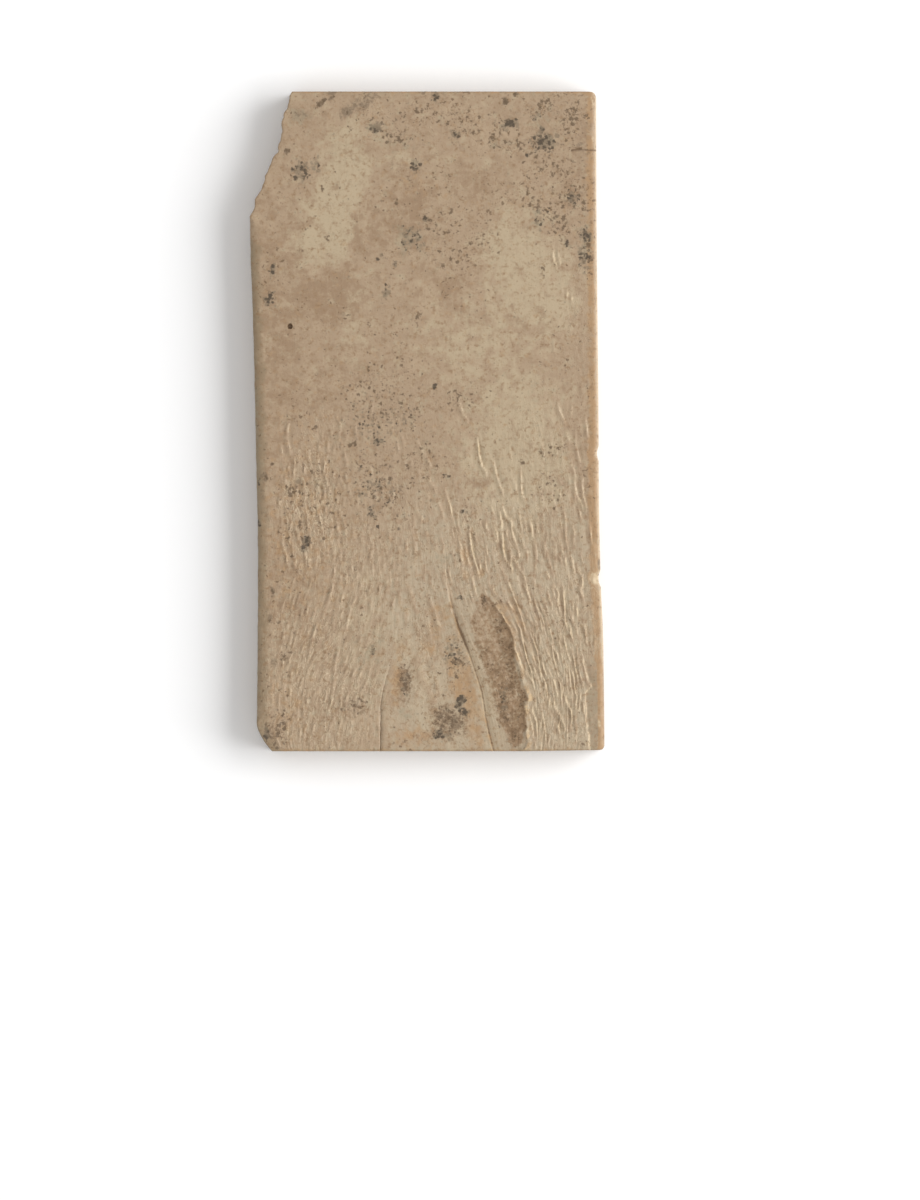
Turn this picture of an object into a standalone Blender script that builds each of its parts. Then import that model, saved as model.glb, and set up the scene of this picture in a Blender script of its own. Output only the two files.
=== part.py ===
"""A leaf of an ivory writing tablet, lying on its back.

Metres, +Z up. The origin is under the middle of the leaf's box, on the surface it lies on.
+Y runs up the leaf, with the broken corner at the upper left, and +X runs to its right.
"""

import math
import random

import bmesh
import bpy
from mathutils import Matrix, Vector

MM = 0.001

# The leaf's box
LENGTH = 83.15 * MM
WIDTH = 44.7 * MM
THICKNESS = 6.0 * MM

# The long sides, from the bottom edge to the top edge: share of the length, and how far the side stands in
LEFT_SIDE = [
    (0.00, 0.84 * MM),
    (0.13, 0.95 * MM),
    (0.32, 1.00 * MM),
    (0.47, 0.73 * MM),
    (0.62, 0.47 * MM),
    (0.74, 0.12 * MM),
    (0.81, 0.00 * MM),
    (1.00, 0.00 * MM),
]
RIGHT_SIDE = [
    (0.02, 0.00 * MM),
    (0.09, 0.06 * MM),
    (0.18, 0.19 * MM),
    (0.25, 0.45 * MM),
    (0.37, 0.68 * MM),
    (0.50, 0.75 * MM),
    (0.68, 0.90 * MM),
    (0.81, 1.00 * MM),
    (1.00, 1.07 * MM),
]
# The bottom edge climbs a little over its right quarter, and the climb fades by this power up the leaf
BOTTOM_RISE = 0.14 * MM
BOTTOM_RISE_START = 0.75
BOTTOM_RISE_FADE = 4

# Worn arrises of the face: how far in each is rounded, and how far it drops
LEFT_ARRIS = 1.1 * MM
LEFT_ARRIS_DROP = 0.55 * MM
RIGHT_ARRIS = 0.6 * MM
RIGHT_ARRIS_DROP = 0.5 * MM
END_ARRIS = 0.3 * MM
END_ARRIS_DROP = 0.22 * MM
BREAK_ARRIS = 0.22 * MM
BREAK_ARRIS_DROP = 0.2 * MM
UNDER_ARRIS = 0.35 * MM
TOP_CORNER_RADIUS = 0.75 * MM
BOTTOM_CORNER_RADIUS = 0.6 * MM

# The broken upper left corner: its size, and its bites as start and end shares of its height and their depth
BREAK_WIDTH = 5.15 * MM
BREAK_HEIGHT = 15.7 * MM
BREAK_HOLLOW = 0.45 * MM
BREAK_BITES = [
    (0.00, 0.15, 0.22 * MM),
    (0.13, 0.38, 0.42 * MM),
    (0.32, 0.77, 0.80 * MM),
    (0.77, 0.97, 0.14 * MM),
]

# The chipped lower left corner, a bulging bevel
CHIP_WIDTH = 1.95 * MM
CHIP_HEIGHT = 3.65 * MM
CHIP_BULGE = 1.7

# Grain lines on the face, from the bottom edge upwards: share of the length, share of the width.
# They run upright over the top half and spread apart like an arch over the bottom half.
SWEEP_LINE = [(0.00, 0.160), (0.25, 0.190), (0.50, 0.205), (1.00, 0.205)]
CRACK_LINE = [(0.00, 0.367), (0.08, 0.372), (0.14, 0.398), (0.30, 0.415), (1.00, 0.415)]
GROOVE_LINE = [
    (0.00, 0.684),
    (0.045, 0.664),
    (0.09, 0.650),
    (0.14, 0.620),
    (0.20, 0.578),
    (0.265, 0.553),
    (0.45, 0.530),
    (1.00, 0.530),
]
RIDGE_LINE = [
    (0.00, 0.774),
    (0.045, 0.781),
    (0.08, 0.782),
    (0.12, 0.767),
    (0.155, 0.745),
    (0.19, 0.724),
    (0.245, 0.677),
    (0.45, 0.645),
    (1.00, 0.645),
]
STRIP_LINE = [
    (0.00, 0.958),
    (0.037, 0.952),
    (0.082, 0.944),
    (0.100, 0.962),
    (0.118, 0.949),
    (0.16, 0.932),
    (0.30, 0.925),
    (1.00, 0.925),
]

# The groove, its smooth trough, and the porous hollow beside it with its raised rim. Depths are below the
# face, and the slope is the width over which the trough's floor becomes the hollow's.
GROOVE_TOP = 0.275
GROOVE_FULL = 0.17
GROOVE_WALL = 0.26 * MM
GROOVE_DEPTH = 0.55 * MM
TROUGH_WIDTH = 1.1 * MM
TROUGH_DEPTH = 0.42 * MM
HOLLOW_DEPTH = 0.36 * MM
HOLLOW_SLOPE = 1.23 * MM
RIM_HEIGHT = 0.15 * MM

# The sunk strip down the lower right side
STRIP_TOP = 0.165
STRIP_FULL = 0.10
STRIP_WALL = 0.28 * MM
STRIP_DEPTH = 0.34 * MM

# Flaked face: where it starts to lose its skin, how much it loses, and the smaller share that its left
# side loses, with the width over which one becomes the other
FLAKED_TOP = 0.52
FLAKED_FULL = 0.24
FLAKED_LEFT = 0.40
FLAKED_LEFT_SHARE = 0.4
FLAKED_LEFT_BLEND = 0.2
FLAKED_DEPTH = 0.16 * MM
# Scales left standing on it. A large one has the share of the width where it starts, the shares of the
# length where it starts and ends, and its height.
LARGE_SCALES = [
    (0.655, 0.385, 0.475, 0.13 * MM),
    (0.710, 0.350, 0.435, 0.15 * MM),
    (0.750, 0.310, 0.375, 0.14 * MM),
    (0.725, 0.285, 0.335, 0.13 * MM),
    (0.645, 0.265, 0.335, 0.16 * MM),
    (0.525, 0.400, 0.475, 0.11 * MM),
    (0.945, 0.340, 0.415, 0.12 * MM),
    (0.540, 0.085, 0.140, 0.13 * MM),
    (0.505, 0.235, 0.290, 0.12 * MM),
]
# A field of staggered scales has its left, right, low and high limits as shares of the width and length,
# then the length of a scale, the gap after it, and its height
SCALE_FIELDS = [
    (0.775, 0.935, 0.005, 0.275, 7.5 * MM, 2.0 * MM, 0.16 * MM),
    (0.690, 0.920, 0.200, 0.330, 5.5 * MM, 3.0 * MM, 0.13 * MM),
    (0.560, 0.930, 0.330, 0.500, 3.5 * MM, 6.5 * MM, 0.08 * MM),
    (0.050, 0.340, 0.020, 0.260, 8.0 * MM, 4.0 * MM, 0.07 * MM),
    (0.080, 0.300, 0.260, 0.480, 4.0 * MM, 3.5 * MM, 0.08 * MM),
    (0.440, 0.570, 0.120, 0.480, 4.5 * MM, 5.0 * MM, 0.07 * MM),
]
# How far each scale is shifted along from its neighbour, as a share of its length and gap
SCALE_STAGGER = 0.618
# A scale climbs over this many grain lines from its left and falls off on its right over one
SCALE_CLIMB = 2
# Below 1 a scale keeps its height nearly to its ends, and at 1 it tapers evenly
SCALE_TAPER = 0.5

# The crack that runs up from the bottom edge
CRACK_TOP = 0.135
CRACK_WIDTH = 0.17 * MM
CRACK_DEPTH = 0.9 * MM
CRACK_STEP = 4.3 * MM

# The small drilled pit: share of the width and of the length, and its size
PIT_PLACE = (0.1135, 0.644)
PIT_DIAMETER = 0.7 * MM
PIT_DEPTH = 0.6 * MM
PIT_SIDES = 12
PIT_BOTTOM = 0.8  # width of its bottom as a share of its mouth

# Flakes knocked off the right side: share of the length, how far each bites in at the face, the radius of
# its bite, and how far down the side it reaches. Two of them are notches through the whole side.
RIGHT_THROUGH = 5 * THICKNESS
SIDE_FLAKES = [
    (0.258, 0.75 * MM, 1.40 * MM, 0.6 * MM),
    (0.261, 0.28 * MM, 2.10 * MM, RIGHT_THROUGH),
    (0.451, 0.22 * MM, 1.90 * MM, RIGHT_THROUGH),
    (0.037, 0.35 * MM, 0.70 * MM, 0.5 * MM),
]

# Fine unevenness all over the worn face
WEAR = 0.012 * MM
WEAR_SEED = 5

# How finely the leaf is laid out: rows up the face, columns along its grain, places across an arris as
# shares of its width, rings of points round the sides as shares of their height, and facets of a flake
FINE_STEP = 1.08 * MM
PLAIN_STEP = 5.0 * MM
BREAK_STEP = 0.92 * MM
GRAIN_STEP = 0.75 * MM
ROUNDING = (0.0, 0.2, 0.55, 1.0)
WALL_LEVELS = (0.55,)
FLAKE_FACETS = 2
# How far a cutter stands out past the surface it cuts
OVERCUT = 1.0 * MM

IVORY_COLOUR = (0.456, 0.328, 0.205, 1.0)
IVORY_ROUGHNESS = 0.55


def through(points, place):
    """The value at a place on the smooth curve through a few (place, value) points."""
    if place <= points[0][0]:
        return points[0][1]
    if place >= points[-1][0]:
        return points[-1][1]
    slopes = []
    for n in range(len(points)):
        before = points[max(n - 1, 0)]
        after = points[min(n + 1, len(points) - 1)]
        slopes.append((after[1] - before[1]) / (after[0] - before[0]))
    n = max(k for k in range(len(points) - 1) if points[k][0] <= place)
    (start, low), (end, high) = points[n], points[n + 1]
    gap = end - start
    s = (place - start) / gap
    return (
        low * (1 + 2 * s) * (1 - s) ** 2
        + high * s * s * (3 - 2 * s)
        + slopes[n] * gap * s * (1 - s) ** 2
        - slopes[n + 1] * gap * s * s * (1 - s)
    )


def ease(value, start, end):
    """0 at start, 1 at end and beyond, turning smoothly between them."""
    s = min(max((value - start) / (end - start), 0.0), 1.0)
    return s * s * (3 - 2 * s)


def rounding(inset, width, drop):
    """How far a worn arris has dropped at this distance in from the edge."""
    if inset >= width:
        return 0.0
    return drop * (1 - math.sqrt(1 - (1 - inset / width) ** 2))


def corner_inset(distance, radius):
    """How far a rounded corner stands in at this distance from the end of the leaf."""
    if distance >= radius:
        return 0.0
    return radius - math.sqrt(radius**2 - (radius - distance) ** 2)


def x_at(share):
    """X at a share of the width, counted from the left."""
    return (share - 0.5) * WIDTH


def share_at(x):
    """Share of the width at an X, counted from the left."""
    return x / WIDTH + 0.5


def break_share(up):
    """0 below the broken corner, and 0 to 1 from its lower end to the top edge."""
    return max((up - (LENGTH - BREAK_HEIGHT)) / BREAK_HEIGHT, 0.0)


def left_edge(up):
    """X of the left side at this height up the leaf."""
    inset = through(LEFT_SIDE, up / LENGTH)
    if up < CHIP_HEIGHT:
        inset += CHIP_WIDTH * (1 - up / CHIP_HEIGHT) ** CHIP_BULGE
    broken = break_share(up)
    if broken > 0:
        inset += BREAK_WIDTH * broken
        for start, end, depth in BREAK_BITES:
            if start < broken < end:
                inset += depth * math.sin(math.pi * (broken - start) / (end - start))
    return -WIDTH / 2 + inset


def right_edge(up):
    """X of the right side at this height up the leaf."""
    inset = through(RIGHT_SIDE, up / LENGTH)
    inset += corner_inset(LENGTH - up, TOP_CORNER_RADIUS)
    inset += corner_inset(up, BOTTOM_CORNER_RADIUS)
    return WIDTH / 2 - inset


def fractured(up):
    """1 where the left side is a fracture, at the broken corner and the chip, and 0 where it is worn."""
    return max(
        ease(up, LENGTH - BREAK_HEIGHT - LEFT_ARRIS, LENGTH - BREAK_HEIGHT),
        ease(up, CHIP_HEIGHT + LEFT_ARRIS, CHIP_HEIGHT),
    )


def left_arris(up):
    """Width and drop of the left arris at this height."""
    sharp = fractured(up)
    width = LEFT_ARRIS + (BREAK_ARRIS - LEFT_ARRIS) * sharp
    drop = LEFT_ARRIS_DROP + (BREAK_ARRIS_DROP - LEFT_ARRIS_DROP) * sharp
    return width, drop


def on_line(line, up):
    """X of a grain line at this height."""
    return x_at(through(line, up / LENGTH))


def spread(start, end, step):
    """Even places from start up to end, leaving end out, no further apart than the step."""
    count = max(1, math.ceil((end - start) / step))
    return [start + (end - start) * n / count for n in range(count)]


def row_heights():
    """Heights up the leaf at which the face is laid out, fine where it is flaked or broken."""
    low_end = [END_ARRIS * share for share in ROUNDING]
    high_end = [LENGTH - height for height in reversed(low_end)]
    flaked_end = LENGTH * FLAKED_TOP
    break_start = LENGTH - BREAK_HEIGHT
    heights = low_end[:-1]
    heights += spread(low_end[-1], flaked_end, FINE_STEP)
    heights += spread(flaked_end, break_start - LEFT_ARRIS, PLAIN_STEP)
    heights += spread(break_start - LEFT_ARRIS, high_end[0], BREAK_STEP)
    return heights + high_end


def grain_places(up, counts=None):
    """X of every grain line that crosses the face at this height, from the left side to the right."""
    left, right = left_edge(up), right_edge(up)
    left_width = left_arris(up)[0]
    groove = on_line(GROOVE_LINE, up)
    strip = on_line(STRIP_LINE, up)
    knots = [
        left + left_width,
        on_line(SWEEP_LINE, up),
        on_line(CRACK_LINE, up),
        groove - GROOVE_WALL / 2,
        groove + GROOVE_WALL / 2,
        groove + TROUGH_WIDTH,
        on_line(RIDGE_LINE, up),
        strip - STRIP_WALL / 2,
        strip + STRIP_WALL / 2,
        right - RIGHT_ARRIS,
    ]
    if counts is None:
        counts = [max(1, round((b - a) / GRAIN_STEP)) for a, b in zip(knots, knots[1:])]
    places = [left + left_width * share for share in ROUNDING[:-1]]
    for start, end, count in zip(knots, knots[1:], counts):
        places += [start + (end - start) * n / count for n in range(count)]
    places += [right - RIGHT_ARRIS * share for share in reversed(ROUNDING)]
    return places, counts


def groove_drop(x, up):
    """Depth of the groove, its trough and the porous hollow below the face."""
    fade = 1 - ease(up / LENGTH, GROOVE_FULL, GROOVE_TOP)
    past = x - on_line(GROOVE_LINE, up) + GROOVE_WALL / 2
    to_ridge = on_line(RIDGE_LINE, up) - x
    if fade <= 0 or past <= 0 or to_ridge <= 0:
        return 0.0
    if past < GROOVE_WALL:
        return fade * GROOVE_DEPTH * past / GROOVE_WALL
    trough_end = TROUGH_WIDTH + GROOVE_WALL / 2
    drop = GROOVE_DEPTH + (TROUGH_DEPTH - GROOVE_DEPTH) * ease(past, GROOVE_WALL, trough_end)
    drop += (HOLLOW_DEPTH - TROUGH_DEPTH) * ease(past, trough_end, trough_end + HOLLOW_SLOPE)
    return fade * drop * ease(to_ridge, 0, GRAIN_STEP)


def rim_height(x, up):
    """Height of the rim that stands between the porous hollow and the flaked face."""
    fade = 1 - ease(up / LENGTH, GROOVE_FULL, GROOVE_TOP)
    return fade * RIM_HEIGHT * max(1 - abs(x - on_line(RIDGE_LINE, up)) / GRAIN_STEP, 0.0)


def strip_drop(x, up):
    """Depth of the sunk strip beside the right side."""
    fade = 1 - ease(up / LENGTH, STRIP_FULL, STRIP_TOP)
    edge = on_line(STRIP_LINE, up)
    return fade * STRIP_DEPTH * ease(x, edge - STRIP_WALL / 2, edge + STRIP_WALL / 2)


def flaked_drop(x, up):
    """Depth to which the face has lost its skin between the scales."""
    height = 1 - ease(up / LENGTH, FLAKED_FULL, FLAKED_TOP)
    half_blend = FLAKED_LEFT_BLEND / 2
    right_half = ease(share_at(x), FLAKED_LEFT - half_blend, FLAKED_LEFT + half_blend)
    across = FLAKED_LEFT_SHARE + (1 - FLAKED_LEFT_SHARE) * right_half
    clear_of_strip = 1 - ease(x, on_line(STRIP_LINE, up), on_line(STRIP_LINE, up) + STRIP_WALL)
    return FLAKED_DEPTH * height * across * clear_of_strip


def crest(along):
    """Height of a scale's crest from its low end, 0, to its high end, 1."""
    return math.sin(math.pi * along) ** SCALE_TAPER


def raise_scale(added, row, line, height):
    """Raises a scale's crest on a grain line, and its gentler side to the left of it."""
    for step in range(SCALE_CLIMB):
        key = (row, line - step)
        added[key] = max(added.get(key, 0.0), height * (1 - step / SCALE_CLIMB))


def scale_heights(rows, counts):
    """Height added by the scales, keyed by row and grain line."""
    added = {}
    for across, start, end, height in LARGE_SCALES:
        places = grain_places(start * LENGTH, counts)[0]
        line = min(range(len(places)), key=lambda n: abs(places[n] - x_at(across)))
        for row, up in enumerate(rows):
            along = (up / LENGTH - start) / (end - start)
            if 0 < along < 1:
                raise_scale(added, row, line, height * crest(along))
    for left, right, low, high, scale, gap, height in SCALE_FIELDS:
        for row, up in enumerate(rows):
            if not low < up / LENGTH < high:
                continue
            places = grain_places(up, counts)[0]
            for line in range(0, len(places), SCALE_CLIMB):
                along = (up / (scale + gap) + line * SCALE_STAGGER) % 1 * (scale + gap) / scale
                if along < 1 and left < share_at(places[line]) < right:
                    raise_scale(added, row, line, height * crest(along))
    return added


def face_point(row, line, rows, counts, scales):
    """Where a grain line crosses a row, on the leaf's worn face."""
    up = rows[row]
    x = grain_places(up, counts)[0][line]
    left_width, left_drop = left_arris(up)
    drop = groove_drop(x, up) + strip_drop(x, up)
    raised = max(scales.get((row, line), 0.0), rim_height(x, up))
    drop += max(flaked_drop(x, up) - raised, 0.0)
    drop += rounding(x - left_edge(up), left_width, left_drop)
    drop += rounding(right_edge(up) - x, RIGHT_ARRIS, RIGHT_ARRIS_DROP)
    drop += rounding(min(up, LENGTH - up), END_ARRIS, END_ARRIS_DROP)
    climb = ease(share_at(x), BOTTOM_RISE_START, 1.0)
    lift = BOTTOM_RISE * climb * (1 - up / LENGTH) ** BOTTOM_RISE_FADE
    return Vector((x, up + lift - LENGTH / 2, THICKNESS - drop))


def wall_point(point, level):
    """A point of the rim taken down the side to a level, with the fracture hollowed at the broken corner."""
    broken = break_share(point.y + LENGTH / 2)
    hollow = 0.0
    if broken > 0 and point.x < 0:
        hollow = BREAK_HOLLOW * math.sin(math.pi * min(broken, 1.0)) * math.sin(math.pi * level)
    height = UNDER_ARRIS + (point.z - UNDER_ARRIS) * level
    return Vector((point.x + hollow, point.y, height))


def open_edges(bm):
    """The edges round the hole in the shell."""
    return [edge for edge in bm.edges if edge.is_boundary]


def extruded_rim(bm, rim):
    """Extrudes the open rim, and pairs each new point with the rim's point that it came from."""
    geometry = bmesh.ops.extrude_edge_only(bm, edges=open_edges(bm))["geom"]
    pairs = []
    for vert in (item for item in geometry if isinstance(item, bmesh.types.BMVert)):
        neighbours = [edge.other_vert(vert) for edge in vert.link_edges]
        pairs.append((vert, next(other for other in neighbours if other in rim)))
    return pairs


def leaf_mesh():
    """The leaf as one closed shell: its face, its sides drawn down from the rim, and its flat underside."""
    rows = row_heights()
    places, counts = grain_places(LENGTH / 2)
    scales = scale_heights(rows, counts)
    worn = random.Random(WEAR_SEED)
    bm = bmesh.new()
    bmesh.ops.create_grid(bm, x_segments=len(places) - 1, y_segments=len(rows) - 1, size=0.5)
    for vert in bm.verts:
        line = round((vert.co.x + 0.5) * (len(places) - 1))
        row = round((vert.co.y + 0.5) * (len(rows) - 1))
        vert.co = face_point(row, line, rows, counts, scales)
        vert.co.z -= WEAR * worn.random()

    rim = {vert: vert.co.copy() for edge in open_edges(bm) for vert in edge.verts}
    for level in (*WALL_LEVELS, 0.0):
        below = {vert: rim[above] for vert, above in extruded_rim(bm, rim)}
        for vert, top in below.items():
            vert.co = wall_point(top, level)
        rim = below
    drawn_in = Vector((1 - 2 * UNDER_ARRIS / WIDTH, 1 - 2 * UNDER_ARRIS / LENGTH, 0))
    for vert, _ in extruded_rim(bm, rim):
        vert.co *= drawn_in
    bmesh.ops.contextual_create(bm, geom=open_edges(bm))
    bmesh.ops.recalc_face_normals(bm, faces=bm.faces)
    bmesh.ops.triangulate(bm, faces=bm.faces)
    mesh = bpy.data.meshes.new("tablet")
    bm.to_mesh(mesh)
    bm.free()
    return mesh


def crack_cutter():
    """A thin blade that follows the crack up from the bottom edge and tapers out at its top."""
    bm = bmesh.new()
    crack_end = CRACK_TOP * LENGTH
    stations = [-OVERCUT, *spread(END_ARRIS, crack_end, CRACK_STEP)]
    left_side, right_side = [], []
    for up in stations:
        half = CRACK_WIDTH / 2 * (1 - max(up, 0.0) / crack_end)
        x = on_line(CRACK_LINE, max(up, 0.0))
        left_side.append(bm.verts.new((x - half, up - LENGTH / 2, THICKNESS - CRACK_DEPTH)))
        right_side.append(bm.verts.new((x + half, up - LENGTH / 2, THICKNESS - CRACK_DEPTH)))
    tip = bm.verts.new((on_line(CRACK_LINE, crack_end), crack_end - LENGTH / 2, THICKNESS - CRACK_DEPTH))
    outline = bm.faces.new([*left_side, tip, *reversed(right_side)])
    lifted = bmesh.ops.extrude_face_region(bm, geom=[outline])["geom"]
    corners = [v for v in lifted if isinstance(v, bmesh.types.BMVert)]
    bmesh.ops.translate(bm, verts=corners, vec=(0, 0, CRACK_DEPTH + OVERCUT))
    return bm


def pit_cutter():
    """The drill's tip."""
    bm = bmesh.new()
    across, along = PIT_PLACE
    height = PIT_DEPTH + OVERCUT
    middle = (x_at(across), (along - 0.5) * LENGTH, THICKNESS - PIT_DEPTH + height / 2)
    mouth = PIT_DIAMETER / 2
    bmesh.ops.create_cone(
        bm,
        cap_ends=True,
        segments=PIT_SIDES,
        radius1=mouth * PIT_BOTTOM,
        radius2=mouth * (PIT_BOTTOM + (1 - PIT_BOTTOM) * height / PIT_DEPTH),
        depth=height,
        matrix=Matrix.Translation(middle),
    )
    return bm


def flake_cutter(along, bite, radius, reach):
    """A ball, stretched downwards, that scoops one flake off the right side."""
    bm = bmesh.new()
    centre = (right_edge(along * LENGTH) - bite + radius, (along - 0.5) * LENGTH, THICKNESS)
    place = Matrix.Translation(centre) @ Matrix.Diagonal((1, 1, reach / radius, 1))
    bmesh.ops.create_icosphere(bm, subdivisions=FLAKE_FACETS, radius=radius, matrix=place)
    return bm


def add_cut(leaf, name, bm):
    """Takes a cutter's shape out of the leaf."""
    bmesh.ops.recalc_face_normals(bm, faces=bm.faces)
    mesh = bpy.data.meshes.new(name)
    bm.to_mesh(mesh)
    bm.free()
    cutter = bpy.data.objects.new(name, mesh)
    bpy.context.scene.collection.objects.link(cutter)
    cutter.hide_render = True
    cutter.display_type = "WIRE"
    cut = leaf.modifiers.new(name, "BOOLEAN")
    cut.operation = "DIFFERENCE"
    cut.solver = "EXACT"
    cut.object = cutter


def ivory():
    """Worn ivory, tan with age."""
    material = bpy.data.materials.new("aged_ivory")
    material.use_nodes = True
    shader = material.node_tree.nodes["Principled BSDF"]
    shader.inputs["Base Color"].default_value = IVORY_COLOUR
    shader.inputs["Roughness"].default_value = IVORY_ROUGHNESS
    shader.inputs["Metallic"].default_value = 0.0
    return material


def main():
    for old in list(bpy.data.objects):
        bpy.data.objects.remove(old, do_unlink=True)
    leaf = bpy.data.objects.new("tablet", leaf_mesh())
    leaf.data.materials.append(ivory())
    bpy.context.scene.collection.objects.link(leaf)
    add_cut(leaf, "cutter_crack", crack_cutter())
    add_cut(leaf, "cutter_pit", pit_cutter())
    for number, flake in enumerate(SIDE_FLAKES):
        add_cut(leaf, f"cutter_flake_{number}", flake_cutter(*flake))


main()
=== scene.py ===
import math

import bmesh
import bpy
import numpy as np
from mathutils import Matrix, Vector


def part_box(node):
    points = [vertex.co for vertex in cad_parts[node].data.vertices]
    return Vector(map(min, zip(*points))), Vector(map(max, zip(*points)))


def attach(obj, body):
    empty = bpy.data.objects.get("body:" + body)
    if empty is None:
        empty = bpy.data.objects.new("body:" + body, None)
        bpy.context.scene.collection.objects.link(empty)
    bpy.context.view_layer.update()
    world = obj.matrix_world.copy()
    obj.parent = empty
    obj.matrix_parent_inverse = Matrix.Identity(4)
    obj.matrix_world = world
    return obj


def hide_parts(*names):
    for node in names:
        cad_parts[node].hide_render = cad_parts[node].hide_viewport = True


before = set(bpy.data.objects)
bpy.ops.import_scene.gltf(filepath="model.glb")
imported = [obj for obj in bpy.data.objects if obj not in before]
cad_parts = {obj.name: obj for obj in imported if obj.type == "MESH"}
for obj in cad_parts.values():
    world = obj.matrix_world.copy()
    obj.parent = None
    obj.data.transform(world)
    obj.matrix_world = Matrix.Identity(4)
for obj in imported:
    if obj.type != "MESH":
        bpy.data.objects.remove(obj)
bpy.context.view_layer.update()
leafLow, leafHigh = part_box("tablet")
mm = 0.001
leafWidth = (leafHigh.x - leafLow.x) / mm
leafLength = (leafHigh.y - leafLow.y) / mm
leafThick = (leafHigh.z - leafLow.z) / mm
print("frame loaded, leaf of", round(leafWidth, 2), "by", round(leafLength, 2),
      "by", round(leafThick, 2), "mm")


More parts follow.
